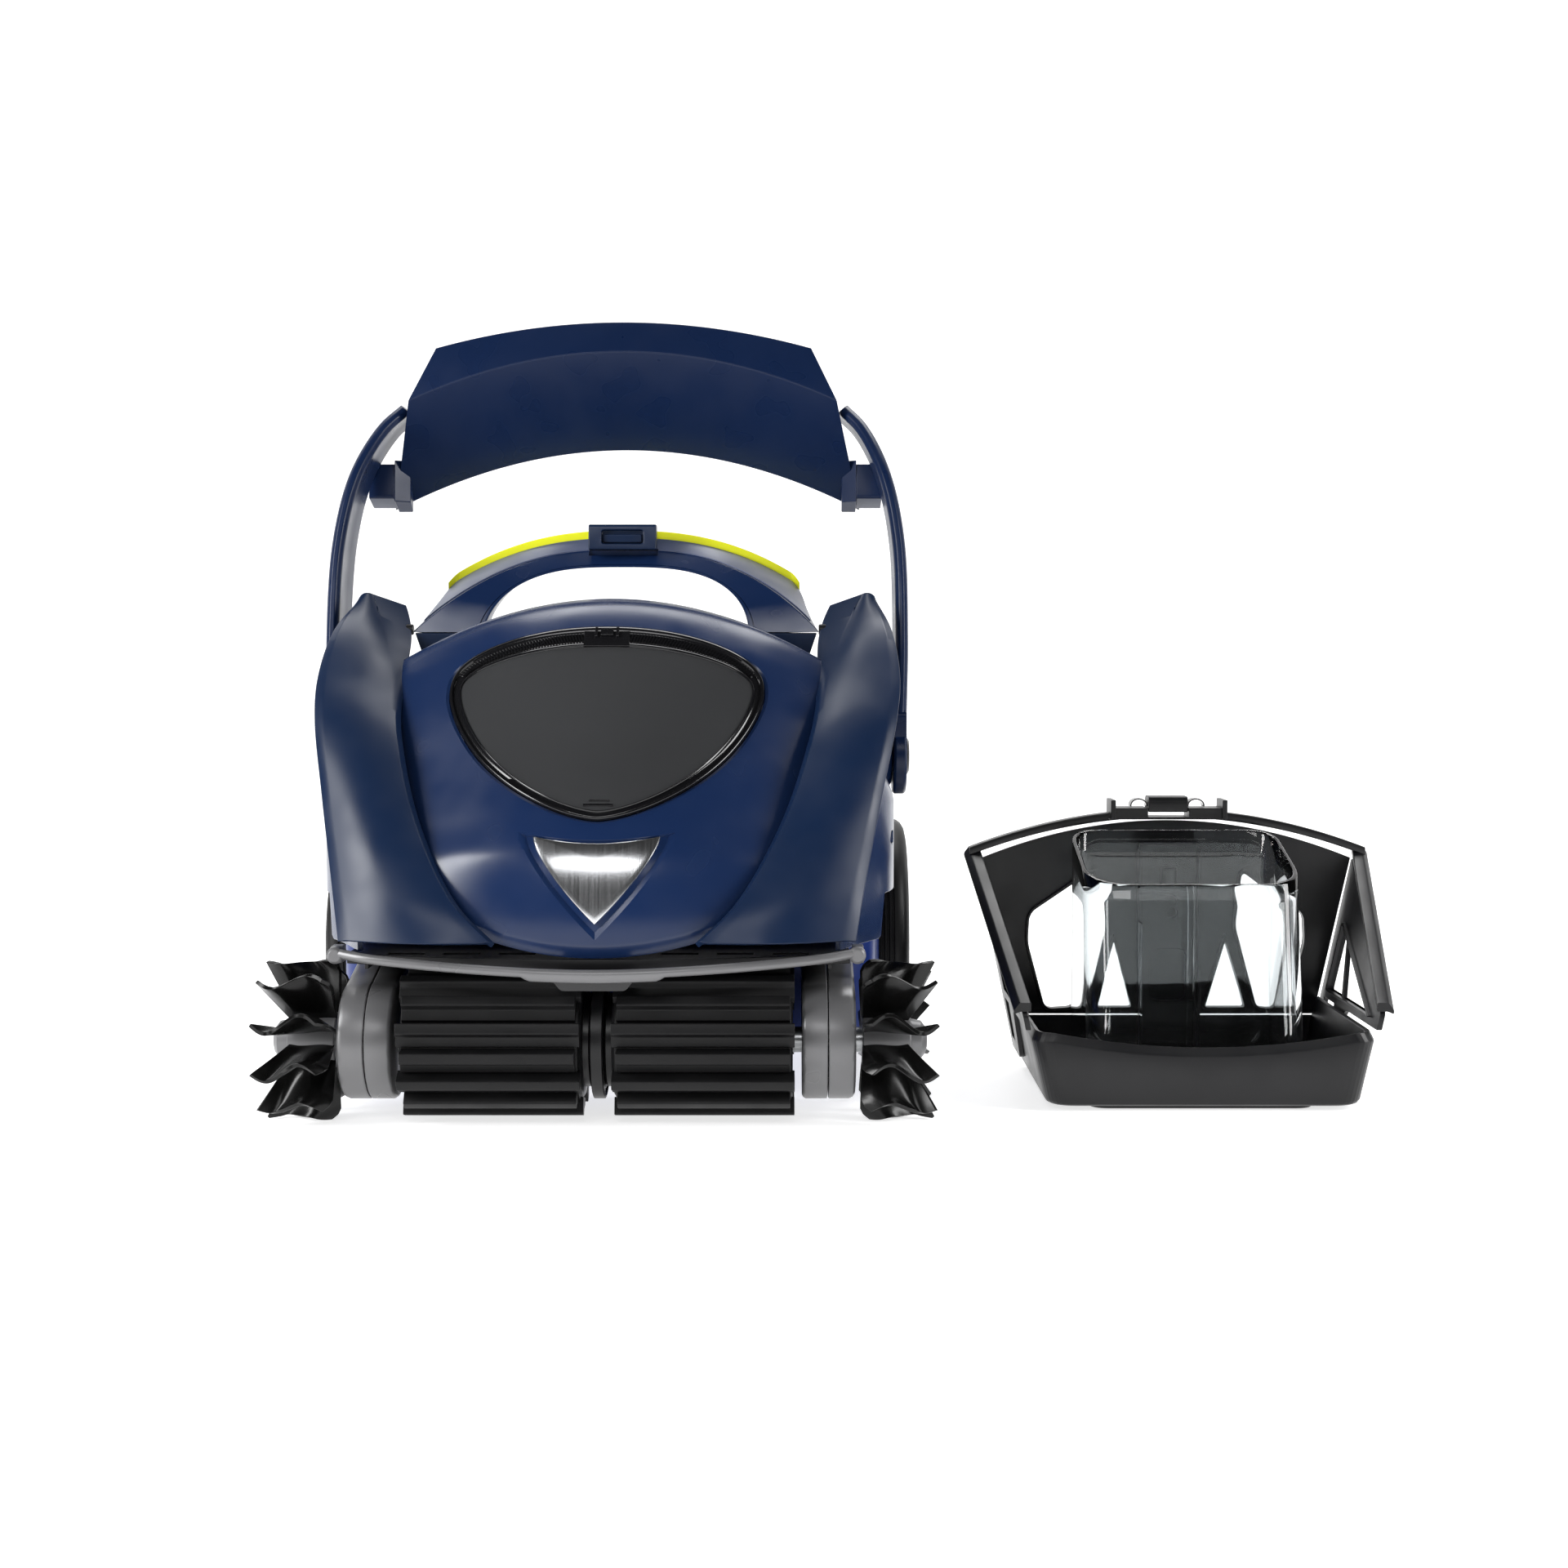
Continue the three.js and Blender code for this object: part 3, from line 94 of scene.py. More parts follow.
class Route:
    """A centripetal Catmull-Rom curve, measured by its length from 0 to 1."""

    def __init__(self, *points, samples=1600):
        knots = [Vector(p) for p in points]
        knots = [2 * knots[0] - knots[1], *knots, 2 * knots[-1] - knots[-2]]
        self.points = [self._between(knots, (len(points) - 1) * t) for t in steps(samples)]
        self.reach = [0.0]
        for a, b in zip(self.points, self.points[1:]):
            self.reach.append(self.reach[-1] + (b - a).length)
        self.length = self.reach[-1]

    @staticmethod
    def _between(knots, position):
        i = min(int(position), len(knots) - 4)
        t = position - i
        a, b, c, d = knots[i : i + 4]
        before, span, after = [(q - p).length ** 0.5 for p, q in ((a, b), (b, c), (c, d))]
        leave = ((b - a) / before - (c - a) / (before + span) + (c - b) / span) * span
        arrive = ((c - b) / span - (d - b) / (span + after) + (d - c) / after) * span
        cubic = 2 * b - 2 * c + leave + arrive
        square = 3 * c - 3 * b - 2 * leave - arrive
        return b + leave * t + square * t * t + cubic * t * t * t

    def at(self, t):
        goal = min(1.0, max(0.0, t)) * self.length
        i = min(max(bisect.bisect_right(self.reach, goal), 1), len(self.points) - 1)
        step = self.reach[i] - self.reach[i - 1]
        return self.points[i - 1].lerp(self.points[i], (goal - self.reach[i - 1]) / step)

    def tangent(self, t, span=0.004):
        return (self.at(t + span) - self.at(t - span)).normalized()


def rounded_section(corners, segments=4):
    """A closed section through (point, radius) corners, each rounded by a curve."""
    made = []
    for i, (at, radius) in enumerate(corners):
        before = corners[i - 1][0]
        after = corners[(i + 1) % len(corners)][0]
        reach = min(radius, 0.45 * min((at - before).length, (at - after).length))
        if reach == 0:
            made.append(at)
            continue
        start = at + (before - at).normalized() * reach
        end = at + (after - at).normalized() * reach
        made += [start * (1 - t) ** 2 + at * (2 * t * (1 - t)) + end * t * t for t in steps(segments)]
    return made


def rounded(points, segments=6):
    """A closed flat outline through (a, b, radius) corners."""
    return rounded_section([(Vector((a, b)), radius) for a, b, radius in points], segments)


# ---------- Shapes: (points, faces) in millimetres ----------
def combine(*shapes):
    points, faces = [], []
    for shape_points, shape_faces in shapes:
        start = len(points)
        points += shape_points
        faces += [tuple(start + i for i in face) for face in shape_faces]
    return points, faces


def moved(shape, x=0, y=0, z=0):
    return [Vector(p) + Vector((x, y, z)) for p in shape[0]], shape[1]


def mirrored(shape):
    return [Vector((-p[0], p[1], p[2])) for p in shape[0]], shape[1]


def spun(shape, angle, axis="X"):
    turn = Matrix.Rotation(angle, 3, axis)
    return [turn @ Vector(p) for p in shape[0]], shape[1]


def tube(rings, closed=False):
    """Closed rings of equal count joined in order, capped at both ends unless the last joins the first."""
    count = len(rings[0])
    points = [p for ring in rings for p in ring]
    pairs = [(i, i + 1) for i in range(len(rings) - 1)]
    if closed:
        pairs.append((len(rings) - 1, 0))
    faces = []
    for a, b in pairs:
        for j in range(count):
            k = (j + 1) % count
            faces.append((a * count + j, a * count + k, b * count + k, b * count + j))
    if not closed:
        for i in (0, len(rings) - 1):
            ring = rings[i]
            if (Vector(ring[0]) - Vector(ring[count // 2])).length > 1e-6:
                faces.append(tuple(i * count + j for j in range(count)))
    return points, faces


PLACES = {
    "x": lambda a, b, along: Vector((along, a, b)),
    "y": lambda a, b, along: Vector((a, along, b)),
    "z": lambda a, b, along: Vector((a, b, along)),
}


def prism(outline, axis, low, high):
    """An outline in the other two axes, from one place along the axis to another."""
    return tube([[PLACES[axis](a, b, along) for a, b in outline] for along in (low, high)])


def block(x, y, z):
    return prism([(x[0], y[0]), (x[1], y[0]), (x[1], y[1]), (x[0], y[1])], "z", *z)


def slab(a, b, radius, axis, low, high, segments=6):
    """A block between two values each of the other two axes, its corners rounded."""
    corners = [(a[0], b[0], radius), (a[1], b[0], radius), (a[1], b[1], radius), (a[0], b[1], radius)]
    return prism(rounded(corners, segments), axis, low, high)


def lathe(profile, axis="x", segments=72):
    """Turned from (along, radius) points that start and end on the axis, or close on themselves."""
    closed = profile[0] == profile[-1]
    rings = [
        [PLACES[axis](radius * cos(tau * k / segments), radius * sin(tau * k / segments), along)
         for k in range(segments)]
        for along, radius in (profile[:-1] if closed else profile)
    ]
    return tube(rings, closed)


def rod(radius, low, high, axis="x", edge=0.5, segments=48):
    """A cylinder with eased ends."""
    start = [(low, 0), (low, radius - edge), (low + edge, radius)]
    end = [(high - edge, radius), (high, radius - edge), (high, 0)]
    return lathe(start + end, axis, segments)


def sheet(rows, thickness):
    """A closed sheet: rows of points on one face, and the same rows moved along the normals."""
    last, width = len(rows) - 1, len(rows[0])

    def at(i, j):
        return rows[min(last, max(0, i))][min(width - 1, max(0, j))]

    inner = []
    for i in range(last + 1):
        for j in range(width):
            normal = (at(i + 1, j) - at(i - 1, j)).cross(at(i, j + 1) - at(i, j - 1)).normalized()
            inner.append(rows[i][j] - normal * thickness)
    points = [p for row in rows for p in row] + inner
    back = len(rows) * width
    faces = []
    for i in range(last):
        for j in range(width - 1):
            quad = (i * width + j, (i + 1) * width + j, (i + 1) * width + j + 1, i * width + j + 1)
            faces += [quad, tuple(back + k for k in reversed(quad))]
    rim = [j for j in range(width)] + [i * width + width - 1 for i in range(1, last + 1)]
    rim += [last * width + j for j in range(width - 2, -1, -1)] + [i * width for i in range(last - 1, 0, -1)]
    for a, b in zip(rim, rim[1:] + rim[:1]):
        faces.append((a, b, back + b, back + a))
    return points, faces


def mesh_of(shape, name, origin=None):
    """A mesh of the shape, in millimetres, or in metres from an origin. Its faces point out."""
    mesh = bpy.data.meshes.new(name)
    points = shape[0] if origin is None else [origin + Vector(p) * MM for p in shape[0]]
    mesh.from_pydata(points, [], shape[1])
    work = bmesh.new()
    work.from_mesh(mesh)
    bmesh.ops.remove_doubles(work, verts=work.verts, dist=1e-4 if origin is None else 1e-7)
    bmesh.ops.dissolve_degenerate(work, edges=work.edges, dist=1e-6 if origin is None else 1e-9)
    bmesh.ops.recalc_face_normals(work, faces=work.faces)
    work.to_mesh(mesh)
    work.free()
    return mesh


def cut(shape, *tools):
    """The shape with the tools taken out of it."""
    scene = bpy.context.scene
    objects = [bpy.data.objects.new("work", mesh_of(item, "work")) for item in (shape, *tools)]
    for item in objects:
        scene.collection.objects.link(item)
    for tool in objects[1:]:
        modifier = objects[0].modifiers.new("cut", "BOOLEAN")
        modifier.object = tool
        modifier.operation = "DIFFERENCE"
        modifier.solver = "EXACT"
    bpy.context.view_layer.update()
    made = objects[0].evaluated_get(bpy.context.evaluated_depsgraph_get()).to_mesh()
    result = [v.co.copy() for v in made.vertices], [tuple(p.vertices) for p in made.polygons]
    for item in objects:
        bpy.data.objects.remove(item)
    return result


def ease_edges(item, width, segments, crease):
    bevel = item.modifiers.new("eased_edges", "BEVEL")
    bevel.width = width * MM
    bevel.segments = segments
    bevel.limit_method = "ANGLE"
    bevel.angle_limit = radians(crease)
    bevel.use_clamp_overlap = False
    bevel.harden_normals = True


def piece(name, shape, body, look, replaces=(), bevel=0.0, segments=3, crease=38, origin=CLEANER):
    mesh = mesh_of(shape, name, origin)
    mesh.shade_smooth()
    mesh.set_sharp_from_angle(angle=radians(crease))
    mesh.materials.append(look)
    item = bpy.data.objects.new(name, mesh)
    bpy.context.scene.collection.objects.link(item)
    if bevel:
        ease_edges(item, bevel, segments, crease)
    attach(item, body)
    if replaces:
        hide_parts(*replaces)
    return item


def pair(name, shape, body, look, replaces=(), **options):
    """The piece on the right and its mirror image on the left."""
    for side, form in (("right", shape), ("left", mirrored(shape))):
        nodes = [f"{node}_{side}" for node in replaces]
        piece(f"{name}_{side}", form, body.format(side=side), look, nodes, **options)


def keep(nodes, look, bevel=0.0):
    """CAD nodes that stay as they are, with a finish and eased edges."""
    for node in nodes:
        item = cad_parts[node]
        item.data.materials.clear()
        item.data.materials.append(look)
        if bevel:
            ease_edges(item, bevel, 2, 38)


# ---------- Materials ----------
MIX_FROM, MIX_TO, MIX_RESULT = 6, 7, 2  # the colour sockets of the mix node


def finish(name, slot, colour, roughness, metallic=0.0, specular=0.5, mottle=0.1, grain=900, relief=0.0,
           streaks=None, transmission=0.0, ior=1.5):
    """A moulded or metal surface: slow colour drift, uneven gloss and, where asked for, fine relief."""
    material = bpy.data.materials.new(name)
    material["slot"] = slot
    material.use_nodes = True
    nodes, links = material.node_tree.nodes, material.node_tree.links
    shader = nodes["Principled BSDF"]
    shader.inputs["Metallic"].default_value = metallic
    shader.inputs["Specular IOR Level"].default_value = specular
    shader.inputs["Transmission Weight"].default_value = transmission
    shader.inputs["IOR"].default_value = ior
    place = nodes.new("ShaderNodeTexCoord").outputs["Object"]

    def noise(scale, detail=1.0, source=place):
        texture = nodes.new("ShaderNodeTexNoise")
        texture.inputs["Scale"].default_value = scale
        texture.inputs["Detail"].default_value = detail
        links.new(source, texture.inputs["Vector"])
        return texture.outputs["Fac"]

    def spread(source, low, high, start=0.3, end=0.7):
        span = nodes.new("ShaderNodeMapRange")
        span.inputs["From Min"].default_value = start
        span.inputs["From Max"].default_value = end
        span.inputs["To Min"].default_value = low
        span.inputs["To Max"].default_value = high
        links.new(source, span.inputs["Value"])
        return span.outputs["Result"]

    def blended(factor, low, high):
        blend = nodes.new("ShaderNodeMix")
        blend.data_type = "RGBA"
        links.new(factor, blend.inputs["Factor"])
        blend.inputs[MIX_FROM].default_value = (*low, 1)
        blend.inputs[MIX_TO].default_value = (*high, 1)
        return blend.outputs[MIX_RESULT]

    dark = tuple(c * (1 - mottle) for c in colour)
    light = tuple(min(1.0, c * (1 + mottle)) for c in colour)
    links.new(blended(spread(noise(11), 0, 1), dark, light), shader.inputs["Base Color"])
    fine_place = place
    if streaks:
        stretch = nodes.new("ShaderNodeMapping")
        stretch.inputs["Scale"].default_value = streaks
        links.new(place, stretch.inputs["Vector"])
        fine_place = stretch.outputs["Vector"]
    fine = noise(1 if streaks else grain, 2.0, fine_place) if streaks or relief else None
    gloss = spread(fine if streaks else noise(45), roughness * 0.85, roughness * 1.15)
    links.new(gloss, shader.inputs["Roughness"])
    if relief:
        bump = nodes.new("ShaderNodeBump")
        bump.inputs["Strength"].default_value = relief
        bump.inputs["Distance"].default_value = 0.0003
        links.new(fine, bump.inputs["Height"])
        links.new(bump.outputs["Normal"], shader.inputs["Normal"])
    return material


NAVY = finish("navy_gloss", "navy_gloss", (0.007, 0.020, 0.070), 0.24, specular=0.45, mottle=0.04)
NAVY_SATIN = finish("navy_satin", "navy_gloss", (0.005, 0.015, 0.046), 0.33, specular=0.32, mottle=0.05)
NAVY_HOOP = finish("navy_hoop", "navy_gloss", (0.0045, 0.013, 0.046), 0.30, specular=0.26, mottle=0.05)
# A paler copy of the navy gloss, laid on top of the handle arch as a painted reflection of the light from
# above.
NAVY_PAINTED_SHEEN = finish("navy_painted_sheen", "navy_gloss", (0.085, 0.105, 0.185), 0.34, specular=0.4, mottle=0.05)
BLUE = finish("blue_body", "blue_body", (0.006, 0.026, 0.17), 0.34, specular=0.3)
BLACK = finish("black_plastic", "black_plastic", (0.007, 0.007, 0.008), 0.34, specular=0.34, mottle=0.15)
BLACK_GLOSS = finish("black_gloss", "black_plastic", (0.006, 0.006, 0.007), 0.11, specular=0.5)
RUBBER = finish("black_rubber", "black_rubber", (0.005, 0.005, 0.0055), 0.46, specular=0.25, mottle=0.2,
                relief=0.12)
PADDLE_RUBBER = finish("gloss_rubber", "black_rubber", (0.004, 0.004, 0.004), 0.24, specular=0.3, mottle=0.2)
SILVER = finish("silver_plastic", "silver_plastic", (0.16, 0.16, 0.165), 0.32, metallic=0.3, mottle=0.05,
                grain=2600, relief=0.04)
CHROME = finish("badge_metal", "badge_metal", (0.62, 0.63, 0.65), 0.22, metallic=1.0, mottle=0.04,
                streaks=(1500, 60, 26), relief=0.10)
STEEL = finish("steel", "steel", (0.40, 0.41, 0.42), 0.30, metallic=1.0, mottle=0.06, streaks=(30, 900, 900),
               relief=0.06)
YELLOW = finish("yellow_trim", "yellow_trim", (0.86, 0.88, 0.015), 0.38, specular=0.35, mottle=0.05)
LENS = finish("smoked_lens", "smoked_lens", (0.042, 0.043, 0.045), 0.08, mottle=0.08, transmission=0.12)
CLEAR = finish("clear_cup", "clear_cup", (0.86, 0.89, 0.90), 0.03, mottle=0.01, transmission=1.0, ior=1.47)


# ---------- Hood ----------
HOOD = Route((0, -36, 93.5), (0, -35, 120), (0, -28, 148), (0, -11, 172), (0, 13, 205), (0, 37, 240),
             (0, 61, 268), (0, 86, 285), (0, 112, 284), (0, 150, 264), (0, 182, 234), (0, 194, 214))
HOOD_HALF_WIDTH = 124  # tucked in under the wings
HOOD_BOW = 0.0024
HOOD_LIP_RISE = 0.0025
SKIN = 3
HINGE_PIN = (205, 212)  # Y and Z
WINDOW_CENTRE = 172  # along the hood from its lip
WINDOW_SIZE = (91, 36, 97)  # half width, reach up and reach down
LENS_SIZE = (82.5, 20, 89)
BEZEL_SCALE = 0.98


def hood_point(x, distance, depth=0.0):
    t = distance / HOOD.length
    point, along = HOOD.at(t), HOOD.tangent(t)
    setback = HOOD_BOW * x * x + depth
    return Vector((x, point.y + along.z * setback, point.z - along.y * setback))


def hood_skin():
    chamfer = 7  # the lower lip leans in over this distance
    outer, inner = [], []
    for s in steps(110):
        x = mix(-HOOD_HALF_WIDTH, HOOD_HALF_WIDTH, s)
        start = HOOD_LIP_RISE * x * x
        reaches = [0, 1, chamfer - 1, chamfer, chamfer + 1]
        reaches += [mix(chamfer + 3, HOOD.length - start, t) for t in steps(130)]
        lean = [3.2 * (1 - ramp(d, -2, chamfer)) for d in reaches]
        outer.append([hood_point(x, start + d, bend) for d, bend in zip(reaches, lean)])
        inner.append([hood_point(x, start + d, bend + SKIN) for d, bend in zip(reaches, lean)])
    rings = [[*row, *reversed(under)] for row, under in zip(outer, inner)]
    return tube(rings)


def shield(half_width, up, down, up_power=2.8, down_power=1.6, centre=WINDOW_CENTRE):
    """The window's outline: a flat-topped upper half and a pointed lower half."""
    def outline(angle):
        c, s = cos(angle), sin(angle)
        exponent = 2 / (up_power if s > 0 else down_power)
        reach = up if s > 0 else down
        return half_width * signed_power(c, exponent), centre + reach * signed_power(s, exponent)
    outline.centre = centre
    return outline


def badge_outline(angle, half_width=34, top=68, dip=6, tip=18, bow=1.5):
    turn = angle / tau * 3
    if turn < 1:
        t = 1 - 2 * turn
        return half_width * t, top - dip * (1 - t * t)
    t = turn - 1 if turn < 2 else 3 - turn
    side = half_width * (1 - t**bow)
    return (-side if turn < 2 else side), mix(top, tip, t)


badge_outline.centre = 52


def on_hood(levels, spokes=180, closed=False):
    """Rings of outlines on the hood: each level is an outline, its scale about its centre, and a depth."""
    rings = []
    for outline, scale, depth in levels:
        ring = []
        for k in range(spokes):
            x, distance = outline(tau * k / spokes)
            ring.append(hood_point(scale * x, mix(outline.centre, distance, scale), depth))
        rings.append(ring)
    return tube(rings, closed)


def plate(outline, rim, spokes=180, crown=0.0):
    """A closed plate on the hood whose rim climbs through (scale, depth) levels, top first."""
    top, bottom = rim[0], rim[-1]
    levels = [(outline, top[0] * r, top[1] - crown * (1 - r * r)) for r in steps(12)]
    levels += [(outline, scale, depth) for scale, depth in rim[1:]]
    levels += [(outline, bottom[0] * r, bottom[1]) for r in reversed(steps(12)[:-1])]
    return on_hood(levels, spokes)


WINDOW_OUTER = shield(*WINDOW_SIZE)
FRAME_INNER = shield(*LENS_SIZE)


def between(w):
    """The outline part of the way from the window frame's outer edge to the lens."""
    size = [mix(outer * BEZEL_SCALE, inner, w) for outer, inner in zip(WINDOW_SIZE, LENS_SIZE)]
    return shield(*size, mix(2.8, 2.5, w))


def window_frame():
    section = [(0, 4), (0, -0.7), (0.05, -1.3), (0.16, -1.5), (0.24, -1.3), (0.30, -0.2), (0.34, 0.2),
               (0.74, 0.5), (0.80, 0.1), (0.86, -0.5), (0.92, -0.7), (0.97, -0.5), (1.0, 0.2), (1.0, 4)]
    return on_hood([(between(w), 1, depth) for w, depth in section], 220, closed=True)


def comb():
    """Fine ribs in the channel along the top of the window frame, either side of the middle block."""
    ribs = []
    pitch, width, ends = 1.7, 0.8, (0.36, 0.72)
    top, low = between(ends[0]), between(ends[1])
    angle = 0.32
    while angle < pi / 2:
        x, distance = top(angle)
        inner_x, inner_distance = low(angle)
        if x > 15:
            across = Vector((distance - inner_distance, inner_x - x)).normalized() * width / 2
            corners = []
            for depth in (0.6, -0.7):
                for px, pd in ((x, distance), (inner_x, inner_distance)):
                    ends_of_rib = [(px + side * across.x, pd + side * across.y) for side in (-1, 1)]
                    corners.append([hood_point(*place, depth) for place in ends_of_rib])
            (a, b), (c, d), (e, f), (g, h) = corners
            ribs.append(tube([[a, b, d, c], [e, f, h, g]]))
        run = (Vector(top(angle + 0.001)) - Vector((x, distance))).length
        angle += 0.001 * pitch / max(run, 1e-4)
    half = combine(*ribs)
    return combine(half, mirrored(half))


def hood_box(x, distance, depth):
    """A block on the hood between two values each of X, distance and depth."""
    rings = []
    for d in depth:
        rings.append([hood_point(x[0], distance[0], d), hood_point(x[1], distance[0], d),
                      hood_point(x[1], distance[1], d), hood_point(x[0], distance[1], d)])
    return tube(rings)


def build_hood():
    opening = plate(WINDOW_OUTER, [(1.03, -4), (1.005, -0.05), (0.985, 1.0), (0.985, 9)], crown=-1)
    recess = plate(badge_outline, [(1.34, -4), (1.24, -0.05), (1.12, 1.5), (1.12, 1.6)], 150)
    knuckle_body = rounded([(166, 198, 0), (209, 205, 5), (210, 219, 5), (174, 214, 2)])
    knuckle = cut(prism(knuckle_body, "x", 92, 108), moved(rod(3.7, 80, 120), 0, *HINGE_PIN))
    piece("hood_skin", cut(hood_skin(), opening, recess), "hood", NAVY, ["hood_shell"], crease=28)
    pair("hood_knuckle", knuckle, "hood", NAVY, bevel=0.8)
    piece("window_bezel", window_frame(), "hood", BLACK_GLOSS, ["window_frame"], crease=50)
    piece("window_comb", comb(), "hood", BLACK_GLOSS, crease=30)
    top = WINDOW_CENTRE + WINDOW_SIZE[1] * BEZEL_SCALE
    catch = [hood_box((-13, 13), (top - 15.5, top - 1.5), (2, -1.2))]
    catch.append(hood_box((-3.6, 3.6), (top - 8, top - 3), (0, -2.0)))
    catch += [hood_box((side * 6 - 0.8, side * 6 + 0.8), (top - 9, top - 2), (0, -2.2)) for side in (-1, 1)]
    piece("window_catch", combine(*catch), "hood", BLACK_GLOSS, bevel=0.3)
    lens_rim = [(1.0, 0.3), (1.0, 2.9)]
    pane = plate(FRAME_INNER, lens_rim, 200, crown=1.6)
    piece("window_pane", pane, "hood", LENS, ["window_lens"], crease=60)
    bottom = WINDOW_CENTRE - 87
    tick = [hood_box((-8, 8), (bottom + 1, bottom + 2.6), (0.4, -0.5))]
    tick.append(hood_box((-5, 6), (bottom + 4, bottom + 5), (0.4, -0.4)))
    piece("window_tick", combine(*tick), "hood", BLACK_GLOSS, bevel=0.2)
    badge_rim = [(0.955, -0.7), (0.985, -0.55), (1.0, -0.1), (1.0, 1.4)]
    shield_plate = plate(badge_outline, badge_rim, 150, crown=0.3)
    piece("badge_plate", shield_plate, "hood", CHROME, ["badge"], crease=30)


# ---------- Wings ----------
WING_RIDGE = Route((57, -36, 101), (78, -28, 121), (103, 3, 163), (119, 42, 208), (125, 76, 235),
                   (135, 107, 262), (149, 137, 288))
WING_OUTER = Route((136, -21, 101), (141, -10, 128), (152, 18, 178), (161, 45, 217), (164, 68, 240),
                   (161, 97, 266), (152.5, 136, 287))


def wing():
    rows = []
    for t in steps(90):
        ridge, outer = WING_RIDGE.at(t), WING_OUTER.at(t)
        swell = mix(9, 2, t)
        flank = ramp(t, 0.62, 1)
        tuck = Vector((mix(-2, -20, flank), mix(3, 4, flank), mix(-2, -7, flank)))
        lip = outer + Vector((-1.5, mix(12, 3, t), mix(0, -6, t)))
        row = [ridge + tuck, ridge + tuck * 0.5]
        for s in steps(22):
            point = ridge.lerp(outer, s)
            point.y -= swell * sin(pi * s) * 0.75
            point.z += swell * sin(pi * s) * 0.45 * t
            row.append(point)
        rows.append([*row, outer.lerp(lip, 0.5), lip])
    return sheet(rows, SKIN)


# ---------- Handle arch ----------
ARCH_HALF_WIDTH = 121.5
ARCH_RISE = 85


def on_lean(x, rise):
    return Vector((x, 122 + 0.8 * rise, 267 + 0.6 * rise))


def arch_corners(turn):
    c, s = cos(turn), sin(turn)
    front_x = ARCH_HALF_WIDTH * signed_power(c, 0.8)
    front_top = on_lean(front_x, ARCH_RISE * (1 - abs(front_x / ARCH_HALF_WIDTH) ** 2.6))
    front_bottom = on_lean(79 * signed_power(c, 2 / 3), 66.8 * s)
    back_x = 0.96 * front_x
    reach = ramp(s, 0, 0.5)
    back_top = Vector((back_x, mix(front_top.y + 14, 198, reach), 326 - 27 * abs(back_x / 106) ** 2.4))
    back_top.z = mix(front_top.z + 2, back_top.z, reach)
    back_bottom = front_bottom + Vector((0, mix(12, 16, s), mix(-4, 5, s)))
    return front_top, back_top, back_bottom, front_bottom


def handle_arch():
    """The arch, with a fine groove in its face round the finger opening."""
    rings = []
    into = Vector((0, 0.6, -0.8))
    for t in steps(130):
        front_top, back_top, back_bottom, front_bottom = arch_corners(pi * t)
        face = front_top - front_bottom
        near = min(3.0 / face.length, 0.3)
        line = min(0.7 / face.length, 0.1)
        start, end = front_bottom + face * near, front_bottom + face * (near + line)
        groove = [(start, 0), (start + into * 1.1, 0), (end + into * 1.1, 0), (end, 0)]
        edges = [(front_top, 1.6), (back_top, 1.6), (back_bottom, 1.6), (front_bottom, 1.4)]
        rings.append(rounded_section([*groove, *edges]))
    return tube(rings)


def handle_trim():
    rings = []
    for t in steps(110):
        _, back_top, _, _ = arch_corners(pi * mix(0.12, 0.88, t))
        low = back_top + Vector((0, 0, -9))
        corners = [(back_top, (1.0, 5.5)), (back_top, (6.0, 4.5)), (low, (7.0, 0)), (low, (2.5, 0))]
        rings.append(rounded_section([(at + Vector((0, *shift)), 1.0) for at, shift in corners]))
    return tube(rings)


def handle_painted_sheen():
    """A thin sloping band on top of the arch, in front of the yellow trim, in paler navy: a painted
    reflection of the light from above.
    """
    rings = []
    for t in steps(110):
        front_top, back_top, _, _ = arch_corners(pi * mix(0.10, 0.90, t))
        front = front_top.lerp(back_top, 0.10)
        back = front_top.lerp(back_top, 0.97)
        up = Vector((0, -0.1, 0.7))
        rings.append([front + up, back + up, back - up, front - up])
    return tube(rings)


def build_handle():
    notch = block((-21.6, 21.6), (150, 191), (315, 345))
    piece("handle_bow", cut(handle_arch(), notch), "hood", NAVY, ["hood_handle"], crease=32)
    # The paler band on the arch top is a painted reflection of the light from above, not a separate trim
    # colour.
    piece("handle_painted_sheen", cut(handle_painted_sheen(), notch), "hood", NAVY_PAINTED_SHEEN, crease=32)
    piece("handle_inlay", handle_trim(), "hood", YELLOW, ["handle_trim"], crease=32)
    pair("handle_pin", moved(rod(3.2, 121, 125.5), 0, 124, 268.5), "hood", BLACK)
    cheek = prism(rounded([(80, 266.6, 0), (120, 266.6, 0), (113, 246, 4), (86, 246, 4)]), "y", 122.4, 134)
    pair("handle_cheek", cheek, "hood", NAVY_SATIN, bevel=0.8)
    outline = rounded([(176, 318.4, 1), (190.5, 318.4, 1), (190.5, 334, 3), (178, 334, 2)])
    recess = slab((-13, 13), (322, 330.5), 2, "y", 170, 181.5)
    face = slab((-12, 12), (322.8, 328), 1.5, "y", 179.6, 182)
    latch = combine(cut(prism(outline, "x", -21, 21), recess), face)
    piece("latch_block", latch, "latch_button", NAVY_SATIN, ["latch_button"], bevel=0.7)


# ---------- Carry hoop ----------
HOOP = Route((170, 144, 214), (171, 150, 264), (169.5, 166, 323), (162, 181, 363), (149, 203, 393),
             (137, 216, 407))
HOOP_PIVOT = (142, 192)


